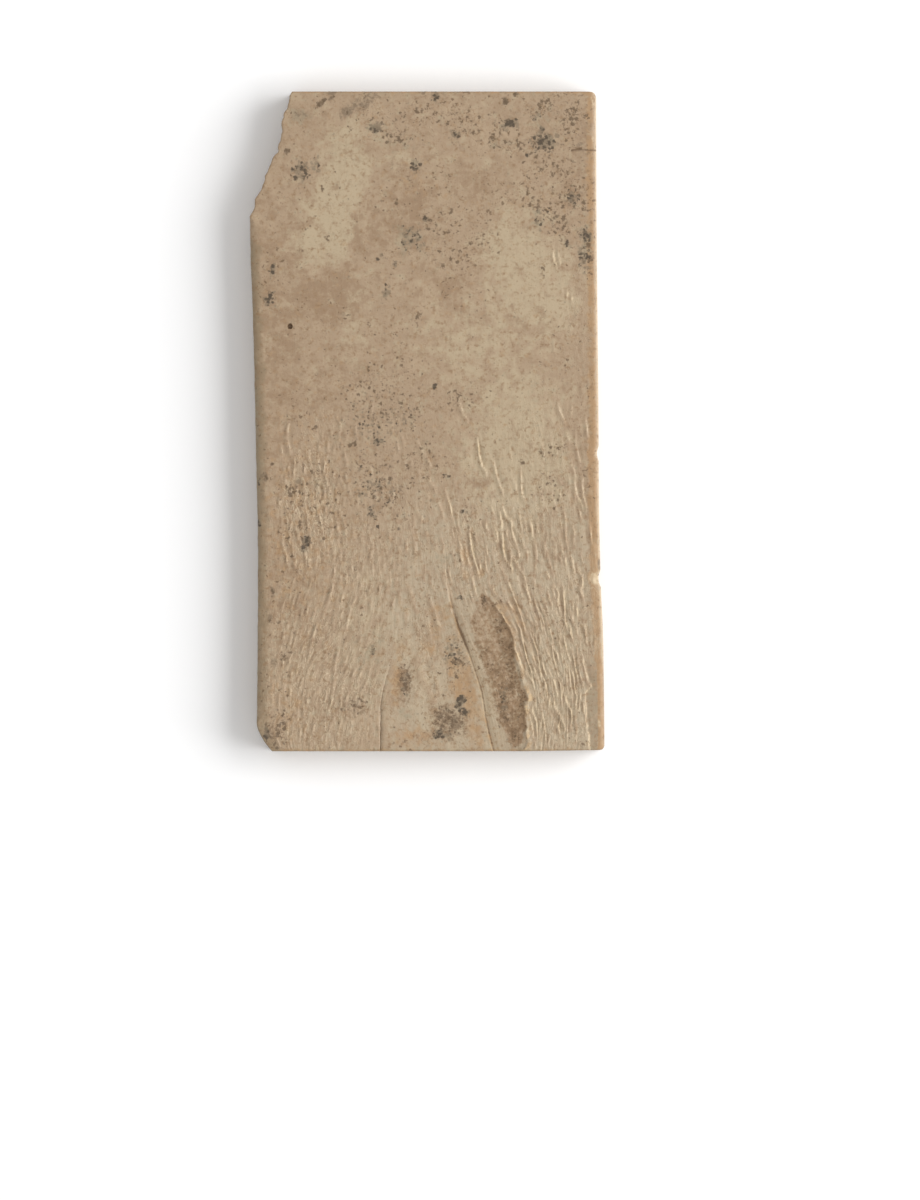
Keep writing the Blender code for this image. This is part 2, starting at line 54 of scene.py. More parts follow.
# The ivory leaf. Everything is in millimetres, places counted across and up from the lower left of its
# box, except the grain lines, which are shares of its length and of its width.
leaf = {
    "seed": 11,
    # How fine the face is laid out
    "columnStep": 0.150,
    "fineColumnStep": 0.122,
    "flakedRow": 0.28,
    "plainRow": 0.50,
    "brokenRow": 0.27,
    "scratchRows": (75.2, 76.4, 0.12),  # from, to, step
    "endRows": (0.0, 0.2, 0.5, 1.0),  # rows in the arris of each end, as shares of its width
    "fineLead": 1,  # the finer columns start this far left of the groove
    "sharpAngle": 55,
    # Long sides: share of the length, and how far the side stands in
    "leftSide": [(0.0, 0.84), (0.13, 0.95), (0.32, 1.0), (0.47, 0.73), (0.62, 0.47), (0.74, 0.12),
                 (0.81, 0.0), (1.0, 0.0)],
    "rightSide": [(0.02, 0.0), (0.09, 0.06), (0.18, 0.19), (0.25, 0.45), (0.37, 0.68), (0.5, 0.75),
                  (0.68, 0.9), (0.81, 1.0), (1.0, 1.07)],
    "bottomRise": 0.14,
    "bottomRiseStart": 0.75,
    "bottomRiseFade": 4,
    # Worn arrises: how far in each is rounded, and how far it drops
    "leftArris": (1.1, 0.55),
    "rightArris": (0.6, 0.5),
    "endArris": (0.3, 0.22),
    "breakArris": (0.22, 0.2),
    "underArris": 0.35,
    "arrisUneven": (0.18, 2.5),  # how uneven the left arris is, and over what length
    "topCornerRadius": 0.75,
    "bottomCornerRadius": 0.6,
    # Broken upper left corner, its bites as start and end shares of its height and their depth
    "breakWidth": 5.15,
    "breakHeight": 15.7,
    "breakHollow": 0.45,
    "breakBites": [(0.0, 0.15, 0.22), (0.13, 0.38, 0.42), (0.32, 0.77, 0.8), (0.77, 0.97, 0.14)],
    "breakBlend": 0.1,  # share of its height over which its roughness sets in
    "breakWaver": [(0.13, 1.5), (0.13, 0.6)],  # how far the broken side wavers, and how far apart
    "sideWaver": (0.03, 0.12, 0.9),  # how far the left side wavers, how much more where broken, how far apart
    # Chipped lower left corner
    "chipWidth": 1.95,
    "chipHeight": 3.65,
    "chipBulge": 1.7,
    # Grain lines, from the bottom edge upwards
    "sweepLine": [(0.0, 0.16), (0.25, 0.19), (0.5, 0.205), (1.0, 0.205)],
    "crackLine": [(0.0, 0.367), (0.08, 0.372), (0.14, 0.398), (0.3, 0.415), (1.0, 0.415)],
    "grooveLine": [(0.0, 0.684), (0.045, 0.664), (0.09, 0.65), (0.14, 0.62), (0.2, 0.578), (0.265, 0.553),
                   (0.45, 0.53), (1.0, 0.53)],
    "ridgeLine": [(0.0, 0.774), (0.045, 0.781), (0.08, 0.782), (0.12, 0.767), (0.155, 0.745), (0.19, 0.724),
                  (0.245, 0.677), (0.45, 0.645), (1.0, 0.645)],
    "stripLine": [(0.0, 0.960), (0.057, 0.948), (0.085, 0.947), (0.0925, 0.955), (0.0975, 0.966),
                  (0.105, 0.956), (0.116, 0.948), (0.14, 0.939), (0.163, 0.936), (0.3, 0.925), (1.0, 0.925)],
    "stripJag": (0.10, 0.7),  # how far its edge is notched, and how far apart the notches are
    "stripGrain": [(0.0, 0.954), (0.1, 0.951), (0.16, 0.936), (0.3, 0.925), (1.0, 0.925)],
    "porousLine": [(0.0, 0.745), (0.019, 0.73), (0.04, 0.709), (0.062, 0.692), (0.085, 0.68), (0.114, 0.66),
                   (0.165, 0.631), (0.192, 0.624), (0.216, 0.63), (0.236, 0.646), (1.0, 0.646)],
    "porousRight": [(0.0, 0.748), (0.013, 0.757), (0.026, 0.774), (0.047, 0.784), (0.073, 0.786),
                    (0.108, 0.769), (0.136, 0.753), (0.177, 0.738), (0.196, 0.723), (0.213, 0.708),
                    (0.225, 0.691), (0.238, 0.668), (1.0, 0.668)],
    # Groove, trough, porous hollow and its rim
    "grooveTop": 0.275,
    "grooveFull": 0.17,
    "grooveWall": 0.16,
    "grooveDepth": 0.55,
    "troughWidth": 1.1,
    "troughDepth": 0.42,
    "hollowDepth": 0.36,
    "hollowSlope": 1.23,
    "rimHeight": 0.06,
    "rimWidth": 0.45,
    "rimSlope": 2.1,
    "rimJags": [(0.32, 1.3), (0.32, 0.6)],  # how far the rim is notched, and how far apart the notches are
    "rimStep": (0.38, 0.35),  # share of the hollow's depth that breaks off at the rim, and over what width
    "rimUneven": (0.5, 1.3, 1.0, 1.2),  # how much of the rim stands, how uneven it is, over what length, most
    "porousTop": 0.238,
    "porousPits": 0.06,
    "porousPitSize": 0.62,
    "porousRagged": (0.25, 1.0),  # how far the porous patch's left border wanders, and how far apart
    "porousRaggedRim": 0.6,  # the same at its rim and at its top, as shares of that
    "porousRaggedTop": 2,
    "porousFades": [(-0.3, 0.6), (-0.1, 0.35), (-0.5, 0.5)],  # where it fades in at its left, rim and top
    # Sunk strip beside the right side
    "stripTop": 0.165,
    "stripFull": 0.1,
    "stripWall": 0.28,
    "stripDepth": 0.34,
    # Flaked face
    "flakedTop": 0.52,
    "flakedFull": 0.24,
    "flakedLeft": 0.4,
    "flakedBlend": 0.1,
    "flakedLeftShare": 0.4,
    "flakedDepth": 0.16,
    "skinDepth": 0.08,  # the worn skin lies this far under the highest ridges
    "evenedShare": 1.7,  # how far ridges are cut into the face and not piled on it
    "evenedReach": 9,
    # Crack, drilled pit and side flakes
    "crackTop": 11.2,
    "crackWidth": 0.17,
    "crackDepth": 0.12,
    "crackTaper": 0.5,
    "crackSoft": 0.01,
    "crackWander": (0.09, 1.7),  # how far it sways, and how far apart the sways are
    "pitPlace": (5.07, 53.55),
    "pitRadius": 0.35,
    "pitDepth": 0.6,
    "pitBottom": 0.8,
    "pitFine": 2.6,  # the face is cut finer out to this many radii from the pit's middle
    "pitCuts": 3,
    "pitLip": (0.9, 1.1),  # points between these shares of its radius go onto its edge
    "sideFlakes": [(21.45, 0.75, 1.4, 0.6), (3.3, 0.52, 0.75, 0.5)],  # up, bite, radius, reach down
    "sideNotches": [(21.7, 0.28, 2.1), (37.5, 0.22, 1.9)],  # up, bite, radius
}

# Single scarps of the flaked face. The skin left of each line stands proud and breaks off on its right.
# Each has its height, the width of its gentle side, and its line as points across and up.
scarps = [
    (0.26, 1.0, [(28.7, 39.2), (28.8, 37.6), (29.2, 36.0), (29.8, 35.1)]),
    (0.25, 0.9, [(30.8, 36.3), (31.1, 34.6), (31.5, 33.4), (31.9, 32.7)]),
    (0.27, 1.1, [(31.9, 30.8), (32.3, 29.6), (32.9, 28.8), (33.1, 27.4), (33.5, 26.2)]),
    (0.26, 0.9, [(31.8, 27.1), (31.9, 25.5), (32.3, 24.1), (33.0, 23.1)]),
    (0.28, 0.9, [(27.7, 27.7), (27.9, 25.2), (28.5, 23.5), (28.9, 22.3)]),
    (0.18, 0.9, [(34.1, 35.4), (34.2, 32.9), (34.8, 31.3)]),
    (0.20, 0.8, [(41.9, 34.3), (42.0, 32.1), (42.4, 30.6)]),
    (0.18, 0.7, [(40.9, 33.7), (41.2, 32.3), (41.9, 30.9)]),
    (0.17, 0.7, [(39.7, 28.9), (39.8, 26.6), (40.2, 25.0)]),
    (0.15, 0.7, [(39.0, 26.9), (39.4, 25.1), (39.9, 23.6)]),
    (0.16, 0.7, [(42.8, 28.4), (43.0, 26.6), (43.3, 25.9)]),
    (0.15, 0.7, [(35.2, 28.6), (35.9, 26.4), (36.2, 24.6)]),
    (0.14, 0.7, [(37.2, 26.2), (37.6, 24.2), (38.2, 22.6)]),
    (0.14, 0.7, [(36.6, 32.9), (36.9, 31.7), (37.3, 30.7)]),
    (0.12, 0.7, [(38.1, 31.9), (38.6, 30.7)]),
    (0.16, 0.8, [(24.6, 33.0), (25.2, 31.0), (25.4, 30.2)]),
    (0.15, 0.7, [(25.3, 30.0), (26.0, 28.0), (26.6, 25.6)]),
    (0.12, 0.7, [(41.0, 38.5), (41.6, 36.3)]),
    (0.10, 0.7, [(36.8, 38.4), (37.0, 37.1)]),
    (0.16, 0.9, [(21.0, 39.3), (21.8, 37.8), (22.8, 36.1)]),
    (0.13, 0.7, [(22.6, 34.1), (23.4, 33.1)]),
    (0.14, 0.6, [(4.7, 39.1), (5.2, 37.5), (5.7, 37.1), (5.7, 36.3), (5.6, 35.2)]),
    (0.20, 0.4, [(38.2, 62.4), (38.6, 61.3)]),
    (0.20, 0.4, [(38.8, 62.6), (39.1, 61.6)]),
    (0.16, 0.4, [(40.0, 57.5), (40.7, 56.9)]),
    (0.17, 0.8, [(26.3, 44.2), (26.8, 42.7), (27.5, 41.6)]),
    (0.15, 0.8, [(38.8, 43.7), (39.1, 42.8), (39.7, 41.6)]),
    (0.14, 0.6, [(42.3, 41.7), (42.6, 39.7)]),
    # Lower right
    (0.24, 0.9, [(35.6, 15.2), (35.7, 13.9), (36.2, 12.4), (36.7, 9.6), (37.2, 8.4), (37.5, 6.6),
                 (38.1, 5.0)]),
    (0.22, 0.9, [(39.5, 19.7), (39.6, 17.6), (39.7, 16.0), (40.4, 14.8), (40.7, 14.0)]),
    (0.18, 0.8, [(39.5, 14.2), (39.9, 12.9)]),
    (0.22, 0.9, [(38.3, 5.8), (39.2, 4.2), (39.7, 2.9)]),
    (0.20, 0.8, [(39.7, 6.3), (40.5, 5.0)]),
    (0.20, 0.8, [(35.6, 5.2), (36.1, 3.4), (36.2, 2.3)]),
    (0.20, 0.8, [(36.3, 17.8), (36.8, 15.7)]),
    (0.20, 0.8, [(32.4, 21.8), (33.3, 19.4), (34.1, 17.2), (34.6, 15.4)]),
    (0.20, 0.8, [(34.2, 14.6), (34.7, 12.2), (35.4, 10.2), (35.8, 8.0)]),
    (0.18, 0.8, [(37.6, 16.4), (38.1, 13.6), (38.3, 11.4), (38.9, 9.6)]),
    (0.18, 0.7, [(33.0, 24.6), (34.4, 22.4), (35.2, 20.0)]),
    (0.17, 0.7, [(40.6, 12.6), (41.0, 10.4), (41.4, 9.0)]),
    (0.16, 0.7, [(36.9, 4.4), (37.2, 2.6), (37.3, 0.8)]),
    # Middle of the lower end
    (0.17, 1.2, [(21.2, 11.8), (21.7, 10.0), (22.1, 8.7), (22.7, 7.5), (23.5, 6.5)]),
    (0.13, 0.8, [(22.4, 19.6), (23.4, 17.6), (24.0, 15.6)]),
    (0.13, 0.8, [(20.2, 20.4), (20.8, 18.4), (21.6, 16.8)]),
    # Left field
    (0.14, 0.6, [(7.4, 37.6), (7.8, 35.6), (8.6, 33.8), (8.8, 32.0)]),
    (0.13, 0.6, [(9.4, 35.2), (9.9, 33.2), (10.2, 31.0)]),
    (0.13, 0.6, [(6.8, 31.4), (7.4, 29.2), (7.5, 27.4)]),
    (0.12, 0.5, [(10.9, 29.6), (11.2, 27.8), (11.9, 26.4)]),
    # Fan
    (0.13, 0.6, [(10.6, 20.8), (9.7, 18.2), (9.2, 16.4)]),
    (0.12, 0.6, [(13.4, 19.4), (12.4, 16.8), (12.0, 15.0)]),
    (0.12, 0.5, [(8.4, 15.8), (7.6, 13.2), (7.3, 11.4)]),
    (0.11, 0.5, [(11.2, 12.8), (10.7, 10.6), (10.6, 8.4)]),
    (0.10, 0.8, [(22.0, 23.0), (22.7, 22.6)]),
    (0.10, 0.9, [(24.6, 22.6), (25.1, 21.0), (25.4, 19.9)]),
]

# Runs of small scarps along the grain: left and right as shares of the width at the plain upper end, low
# and high, spacing, mean length, gap, height, width of the gentle side, wander, and lean
scarpRuns = [
    (0.655, 0.935, 0.2, 24.0, 1.05, 2.9, 0.9, 0.155, 0.62, 0.30, 0.13),
    (0.655, 0.940, 18.0, 34.0, 1.00, 1.9, 1.6, 0.110, 0.55, 0.28, 0.18),
    (0.560, 0.940, 26.0, 46.0, 1.15, 1.4, 2.8, 0.070, 0.55, 0.20, 0.24),
    (0.780, 0.960, 38.0, 63.0, 1.20, 1.1, 4.5, 0.060, 0.40, 0.10, 0.20),
    (0.535, 0.650, 14.0, 33.0, 0.62, 1.7, 1.1, 0.095, 0.40, 0.22, 0.16),
    (0.425, 0.528, 0.5, 33.0, 0.70, 1.5, 1.3, 0.095, 0.38, 0.24, 0.14),
    (0.300, 0.530, 25.0, 46.0, 0.85, 1.2, 2.2, 0.075, 0.40, 0.24, 0.28),
    (0.085, 0.270, 23.0, 43.0, 0.46, 1.5, 0.5, 0.105, 0.24, 0.52, 0.14),
    (0.260, 0.420, 18.0, 34.0, 0.55, 1.2, 0.9, 0.090, 0.28, 0.38, -0.05),
    (0.095, 0.395, 6.0, 25.0, 0.46, 1.4, 0.6, 0.088, 0.23, 0.26, -0.32),
    (0.095, 0.400, 0.3, 8.5, 0.48, 1.6, 0.8, 0.080, 0.24, 0.18, -0.10),
]

# How scarps are shaped, lengths in mm
scarpWay = {
    "climbBend": 1.4,  # how late the gentle side climbs
    "taperBend": 0.6,  # how soon a scarp is full between its ends
    # Single scarps
    "fall": 0.14,
    "pastEnds": 0.6,  # how far one fades past the ends of its line
    "sway": (0.07, 1.1),  # how far it sways, and how far apart the sways are
    "uneven": (0.3, 1.3),  # how uneven its height is, and over what length
    "noiseSteps": (5.0, 9.0),  # how far apart two scarps read the noise for each of these
    # Runs
    "runFall": 0.16,
    "fray": 0.38,  # how much of a run's height its upper end frays over
    "pastTop": 3,  # one may pass the run's upper end by its mean length over this
    "fewestRows": 3,
    "jag": (0.08, 0.45),  # how far its line is notched, and how far apart the notches are
    "wanderSize": 1.6,
    "runNoiseSteps": (13.7, 3.1, 71),
    # Least and most of what varies from one to the next, as shares of the run's values
    "starts": (-0.5, 1.0),
    "lengths": (0.4, 1.8),
    "asides": (-0.35, 0.35),
    "heights": (0.35, 1.5),
    "climbs": (0.6, 1.2),
    "gaps": (0.3, 1.9),
    "spacings": (0.8, 1.2),
}

# Where the skin is broken into small scales: place across and up, half length each way, turn, strength
scaly = [
    (39.6, 11.0, 5.4, 15.0, 0, 1.0), (34.0, 27.0, 5.5, 8.0, 0, 0.75), (37.5, 38.0, 5.0, 8.0, 0, 0.50),
    (27.5, 25.5, 3.0, 7.0, 0, 0.80), (22.5, 12.0, 2.6, 12.0, 0, 0.65), (8.0, 31.0, 4.0, 10.0, 0, 1.0),
    (14.0, 24.0, 4.8, 8.0, 0, 0.75), (9.0, 9.0, 8.0, 13.0, 0, 0.90), (41.0, 54.0, 2.0, 12.0, 0, 0.45),
    (20.0, 30.0, 4.5, 9.0, 0, 0.55), (24.0, 42.0, 8.0, 6.0, 0, 0.25),
]
scale = {
    "sizes": [(1.15, 0.075), (0.70, 0.035)],  # width and height of the larger and of the smaller scales
    "steepShare": 0.2,
    "climbBend": 1.4,
    "sway": (0.95, 1.7, 2.2),  # how far their lines sway, how far apart, and how drawn out
    "patches": (1.3, 2.0),  # size of the patches that they stand in, and how drawn out these are
    "patchEdge": (-0.35, 0.75),
    # How the fine relief leans off the main grain
    "fanHeights": (9.0, 21.0),
    "fanEdge": (11.0, 22.0),
    "fanLean": 0.33,
    "highStart": 25.0,
    "highLean": 0.22,
}

# Fine wrinkles of the flaked face
wrinkle = {
    "sizes": [(1.05, 2.2, 0.060), (0.58, 2.6, 0.042)],  # spacing across, how drawn out, and height
    "bend": (0.26, 1.3),  # how far they bend, and how far apart
    "patches": (2.4, 1.5),  # size of the patches that they stand in, and how drawn out these are
    "patchEdge": (-0.6, 0.5),
    "thinness": 2.4,
}

# Marks scratched into the face: depth, half width, and the line's points
scratches = [
    (0.10, 0.12, [(40.4, 75.7), (41.4, 75.85), (42.6, 75.78), (43.9, 75.72)]),
    (0.06, 0.09, [(40.2, 76.1), (41.0, 76.02), (41.9, 76.05)]),
    (0.04, 0.08, [(33.0, 14.8), (34.0, 14.5)]),
]
scratchSway = (0.05, 0.6)  # how far a scratch sways, and how far apart the sways are
scratchBreaks = (0.95, 0.8, 0.9)  # how much of it is scored, how uneven that is, how far apart its breaks are

# Low relief over the whole face
relief = {
    # How much of the scarps, scales and wrinkles is lost in the porous patch, the trough and the strip
    "lostPorous": 0.95,
    "lostTrough": 0.75,
    "lostStrip": 0.85,
    "streaks": [(0.6, 6, 0.42), (0.5, 3, 0.9)],  # strength, how drawn out, and width
    "streakDepth": 0.012,
    "streakOnSkin": 0.12,  # how much of it shows where the skin is whole
    "waves": (0.010, 2.2),  # depth, and how far apart
}

# Faint rings: place across and up, radius, half width of the line, strength
rings = [(27.8, 71.1, 1.7, 0.45, 0.55), (35.3, 55.0, 1.6, 0.30, 0.35), (35.3, 55.0, 2.7, 0.30, 0.25)]
ringSway = (0.25, 1.5)  # how far a ring sways, and how far apart the sways are

# Stains on the face, and a few painted highlights. Each blot is its place across and up, its half length
# across and up, its turn in degrees, and its strength.
stainsAndHighlights = {
    "pale": [
        (12.6, 78.3, 2.4, 1.6, 0, 0.6), (12.0, 72.2, 2.8, 4.8, 0, 1.2), (10.9, 67.2, 3.2, 3.8, 0, 1.2),
        (7.6, 63.8, 2.6, 2.2, 0, 0.95), (34.7, 60.6, 4.4, 6.2, 0, 0.95), (37.4, 57.5, 3.2, 4.2, 0, 0.8),
        (33.4, 36.5, 5.8, 9.5, 0, 1.0), (29.0, 51.8, 6.2, 4.8, 0, 0.6), (15.8, 14.5, 4.0, 8.0, 0, 0.4),
        (38.5, 34.0, 2.6, 6.0, 0, 0.6), (13.0, 54.0, 2.0, 4.0, 0, 0.35), (38.0, 8.0, 3.5, 7.0, 0, 0.5),
        (19.5, 74.5, 4.0, 1.4, 0, 0.4), (33.2, 45.0, 4.4, 3.4, 0, 0.7), (30.4, 4.0, 0.8, 4.0, 10, 0.6),
        (19.4, 16.0, 1.4, 3.2, 0, 0.4), (22.2, 3.6, 1.0, 1.6, 0, 0.6),
    ],
    "ruddy": [
        (3.2, 54.4, 3.0, 17.0, 0, 0.55), (9.1, 57.2, 3.6, 3.6, 0, 1.0), (20.8, 68.2, 2.6, 5.0, 0, 0.7),
        (28.1, 71.6, 2.4, 2.2, 0, 0.7), (22.7, 80.0, 20.0, 2.6, 0, 0.15), (36.6, 26.0, 2.6, 2.0, 0, 0.75),
        (24.0, 58.3, 3.6, 2.6, 0, 0.55), (16.5, 65.7, 2.5, 3.4, 0, 0.6), (10.0, 46.0, 5.0, 6.0, 0, 0.3),
        (29.0, 33.6, 1.4, 1.2, 0, 0.55), (41.5, 73.0, 2.2, 6.5, 0, 0.4), (5.5, 22.0, 4.0, 9.0, 0, 0.55),
        (20.4, 15.0, 1.6, 1.3, 0, 0.75), (11.0, 5.4, 1.8, 1.8, 0, 0.6), (18.2, 20.2, 1.4, 1.2, 0, 0.6),
        (17.0, 31.6, 1.2, 2.2, 0, 0.45), (31.6, 26.4, 1.0, 2.4, 0, 0.4),
    ],
    "amber": [
        (27.4, 6.6, 1.3, 6.2, 12, 0.75), (27.2, 24.0, 0.8, 1.9, 10, 0.5), (28.9, 22.5, 0.7, 0.9, 0, 0.45),
        (20.6, 71.6, 2.2, 1.6, 0, 0.3), (34.2, 16.0, 0.5, 4.4, 20, 0.45), (24.5, 17.0, 1.6, 2.4, 0, 0.35),
        (5.0, 6.0, 3.6, 4.0, 0, 0.3), (43.4, 31.0, 0.9, 14.0, 0, 0.4), (32.2, 17.4, 0.7, 1.4, 20, 0.6),
        (20.6, 1.8, 2.2, 1.2, 0, 0.6), (22.4, 13.0, 1.0, 1.4, 0, 0.45), (18.9, 12.4, 0.6, 1.6, 0, 0.4),
        (7.0, 28.0, 6.0, 12.0, 0, 0.3), (18.5, 8.6, 0.8, 2.2, 0, 0.8), (26.3, 8.6, 1.0, 4.0, 14, 0.8),
        (23.6, 3.6, 2.4, 2.8, 0, 0.35),
    ],
    # pale chips and scarp edges that face the lamp: partly fresh ivory, partly painted highlights
    "freshAndHighlight": [
        (43.5, 21.7, 0.6, 0.75, 0, 1.0), (44.0, 3.4, 0.24, 0.6, 0, 1.1), (38.4, 61.8, 0.16, 0.6, 20, 0.6),
        (40.3, 57.2, 0.5, 0.14, -35, 0.6), (43.2, 82.0, 0.14, 0.55, 20, 0.9),
        (43.2, 77.1, 0.13, 0.45, 25, 0.8),
    ],
    "veil": [
        (31.4, 76.6, 1.8, 0.7, 0, 0.8), (6.1, 80.0, 1.5, 0.8, 0, 1.0), (37.2, 80.4, 1.4, 1.2, 0, 0.6),
        (20.9, 64.4, 2.0, 2.0, 0, 0.55), (24.6, 24.2, 1.5, 1.0, -30, 0.6), (42.2, 64.0, 1.2, 2.2, 0, 0.6),
        (18.9, 77.4, 2.4, 1.4, -20, 0.5), (40.4, 34.0, 0.35, 1.0, 0, 0.8), (16.0, 78.4, 1.1, 0.9, 0, 0.6),
        (16.0, 12.6, 0.8, 1.8, 10, 0.7), (36.2, 67.6, 1.2, 1.8, 0, 0.5), (1.1, 36.0, 0.5, 9.0, 0, 0.5),
        (19.8, 4.6, 0.9, 0.8, 0, 0.7), (14.8, 12.0, 1.2, 1.6, 10, 0.55), (8.6, 33.6, 0.5, 1.2, 0, 0.5),
    ],
    "smear": [
        (14.2, 81.7, 2.5, 0.75, 27, 0.8), (12.3, 80.5, 1.0, 0.7, 20, 1.0), (10.2, 82.3, 0.7, 0.3, 35, 0.8),
        (44.1, 23.6, 0.25, 0.9, 0, 0.9), (41.3, 76.5, 0.9, 0.35, 0, 0.6), (42.6, 75.3, 0.8, 0.3, 0, 0.5),
        (9.0, 81.7, 0.75, 0.35, 48, 0.9), (4.6, 75.6, 0.45, 0.5, 0, 0.8), (16.0, 78.3, 0.75, 0.55, 0, 0.9),
        (10.5, 82.95, 0.5, 0.25, 0, 0.9), (21.9, 83.0, 0.4, 0.25, 0, 0.8), (24.4, 3.6, 1.8, 1.8, 0, 0.55),
        (6.2, 80.1, 1.3, 0.5, 0, 0.5), (23.6, 82.6, 0.6, 0.45, 0, 0.8), (33.6, 82.7, 0.3, 0.3, 0, 1.0),
        (32.1, 81.9, 0.3, 0.4, 0, 1.0), (26.0, 77.5, 0.5, 0.4, 0, 0.7), (32.8, 79.0, 0.9, 0.35, 0, 0.9),
        (36.6, 78.2, 0.35, 0.5, 0, 1.0), (37.0, 77.0, 0.8, 0.6, -30, 1.0), (36.0, 80.0, 0.5, 0.3, 0, 0.6),
        (41.2, 75.7, 1.0, 0.25, 0, 0.7), (11.6, 55.0, 0.4, 0.3, 0, 0.6), (18.2, 61.3, 0.25, 0.2, 0, 0.8),
        (7.1, 26.2, 0.55, 1.0, -15, 0.9), (6.1, 34.0, 0.55, 0.42, -20, 0.8), (26.6, 6.3, 0.5, 0.7, 20, 0.9),
        (13.3, 5.8, 1.5, 1.2, 0, 0.4), (4.2, 11.9, 0.5, 0.4, 0, 0.6), (2.2, 2.2, 0.5, 0.8, 30, 0.8),
        (1.8, 34.6, 0.45, 0.9, 0, 0.9), (1.7, 32.3, 0.35, 0.9, 0, 0.75), (5.4, 27.6, 0.7, 0.6, 0, 0.45),
        (1.9, 30.0, 0.4, 0.5, 0, 0.6), (2.8, 20.1, 0.35, 0.6, 0, 0.9), (2.6, 16.8, 0.35, 0.5, 0, 0.8),
        (29.5, 19.1, 0.35, 0.45, 0, 0.8), (2.9, 11.4, 0.5, 1.2, 0, 0.45), (4.9, 12.8, 0.6, 0.5, 0, 0.5),
        (40.6, 69.6, 0.35, 0.3, 0, 1.0), (42.2, 65.2, 0.55, 0.4, 0, 0.8), (39.9, 64.2, 0.3, 0.25, 0, 0.9),
        (2.9, 60.8, 0.25, 0.5, 20, 0.9), (2.6, 57.2, 0.3, 0.5, -20, 0.9), (18.3, 73.8, 1.0, 0.6, 0, 0.3),
    ],
    "smudge": [
        (10.3, 82.4, 0.7, 0.4, 30, 0.8), (9.0, 81.7, 0.85, 0.4, 48, 0.85), (13.7, 81.5, 2.3, 0.7, 27, 0.35),
        (12.4, 78.4, 0.7, 0.4, 0, 0.6), (18.7, 77.5, 1.9, 1.2, 0, 0.64), (7.0, 65.4, 0.6, 0.5, 0, 0.6),
        (9.7, 64.6, 0.3, 0.35, 0, 0.9), (6.5, 63.1, 0.3, 0.35, 0, 0.8), (4.7, 75.6, 0.5, 0.4, 0, 0.8),
        (9.1, 70.7, 0.25, 0.5, 0, 0.8), (18.4, 69.5, 0.35, 0.9, 0, 0.7), (32.2, 81.9, 0.5, 0.7, 0, 0.9),
        (33.5, 82.6, 0.3, 0.4, 0, 1.0), (37.1, 81.3, 1.3, 0.9, 0, 0.7), (40.4, 79.9, 1.9, 2.4, 0, 0.56),
        (35.0, 70.6, 0.22, 0.9, 0, 0.9), (39.7, 66.6, 0.6, 1.8, 0, 0.65), (37.1, 60.5, 0.3, 0.9, 0, 0.7),
        (31.0, 77.4, 1.2, 1.6, 0, 0.62), (42.2, 68.6, 1.0, 1.6, 0, 0.5), (36.2, 68.9, 1.4, 0.9, 0, 0.6),
        (42.6, 62.6, 0.7, 2.6, 0, 0.7), (28.0, 78.2, 1.2, 0.6, 0, 0.6), (24.5, 66.0, 3.0, 2.4, 0, 0.4),
        (26.5, 61.9, 0.6, 1.3, 0, 0.55), (31.4, 62.9, 0.3, 0.3, 0, 0.9), (29.0, 63.8, 2.6, 1.9, 0, 0.45),
        (12.3, 54.7, 0.5, 0.35, 0, 0.8), (15.0, 53.8, 0.35, 0.5, 0, 0.8), (21.2, 55.0, 0.9, 1.3, 0, 0.5),
        (16.1, 45.2, 5.4, 3.4, 0, 0.38), (8.4, 40.7, 0.5, 0.45, 0, 0.8), (5.4, 32.9, 0.55, 1.1, -30, 0.8),
        (6.3, 28.6, 0.6, 0.8, 0, 0.62), (4.8, 27.1, 0.8, 0.8, 0, 0.62), (5.3, 24.4, 0.3, 0.3, 0, 0.8),
        (1.9, 34.6, 0.4, 0.6, 0, 0.8), (2.8, 36.2, 0.25, 0.25, 0, 0.8), (34.3, 36.5, 0.4, 0.6, 0, 0.7),
        (2.8, 20.1, 0.35, 0.6, 0, 0.8), (2.7, 16.6, 0.3, 0.3, 0, 0.7), (3.6, 16.3, 0.3, 0.35, 0, 0.7),
        (5.3, 12.5, 0.35, 0.3, 0, 0.7), (4.2, 11.8, 0.6, 0.5, 0, 0.75), (4.8, 9.6, 0.25, 0.9, 0, 0.8),
        (3.1, 2.5, 1.5, 2.2, 0, 0.7), (18.3, 1.0, 0.35, 0.3, 0, 0.9), (16.0, 34.0, 4.0, 4.5, 0, 0.36),
        (38.4, 33.0, 2.2, 3.4, 0, 0.36), (27.0, 44.6, 1.6, 2.4, 0, 0.5), (38.0, 74.5, 3.2, 3.0, 0, 0.42),
        (40.0, 68.5, 3.0, 5.0, 0, 0.40), (24.6, 62.0, 3.5, 2.0, 0, 0.38), (13.3, 5.8, 1.6, 1.4, 0, 0.42),
        (26.2, 11.0, 1.0, 2.0, 0, 0.6), (41.4, 15.9, 0.3, 0.3, 0, 0.9), (33.5, 77.0, 4.0, 1.6, 0, 0.5),
        (22.7, 80.4, 8.0, 1.6, 0, 0.45), (38.6, 38.2, 1.8, 1.2, 0, 0.42), (36.9, 37.6, 0.5, 0.8, 0, 0.6),
        (21.4, 36.2, 2.0, 3.0, 0, 0.38), (20.2, 42.4, 2.2, 1.6, 0, 0.50), (13.0, 38.6, 0.8, 0.5, 0, 0.7),
        (8.0, 31.0, 3.6, 6.0, 0, 0.34),
    ],
    "earth": [
        (19.5, 9.0, 0.9, 2.2, 0, 1.0), (24.4, 3.8, 2.2, 2.6, 0, 0.95), (13.3, 5.8, 1.3, 1.3, 0, 0.35),
        (19.7, 8.2, 0.5, 0.9, 0, 1.3),
        (2.2, 2.3, 0.8, 1.4, 0, 0.7), (19.4, 6.8, 1.0, 1.2, 0, 0.5), (24.2, 2.2, 1.8, 1.0, 0, 0.7),
        # Darker places in the porous patch
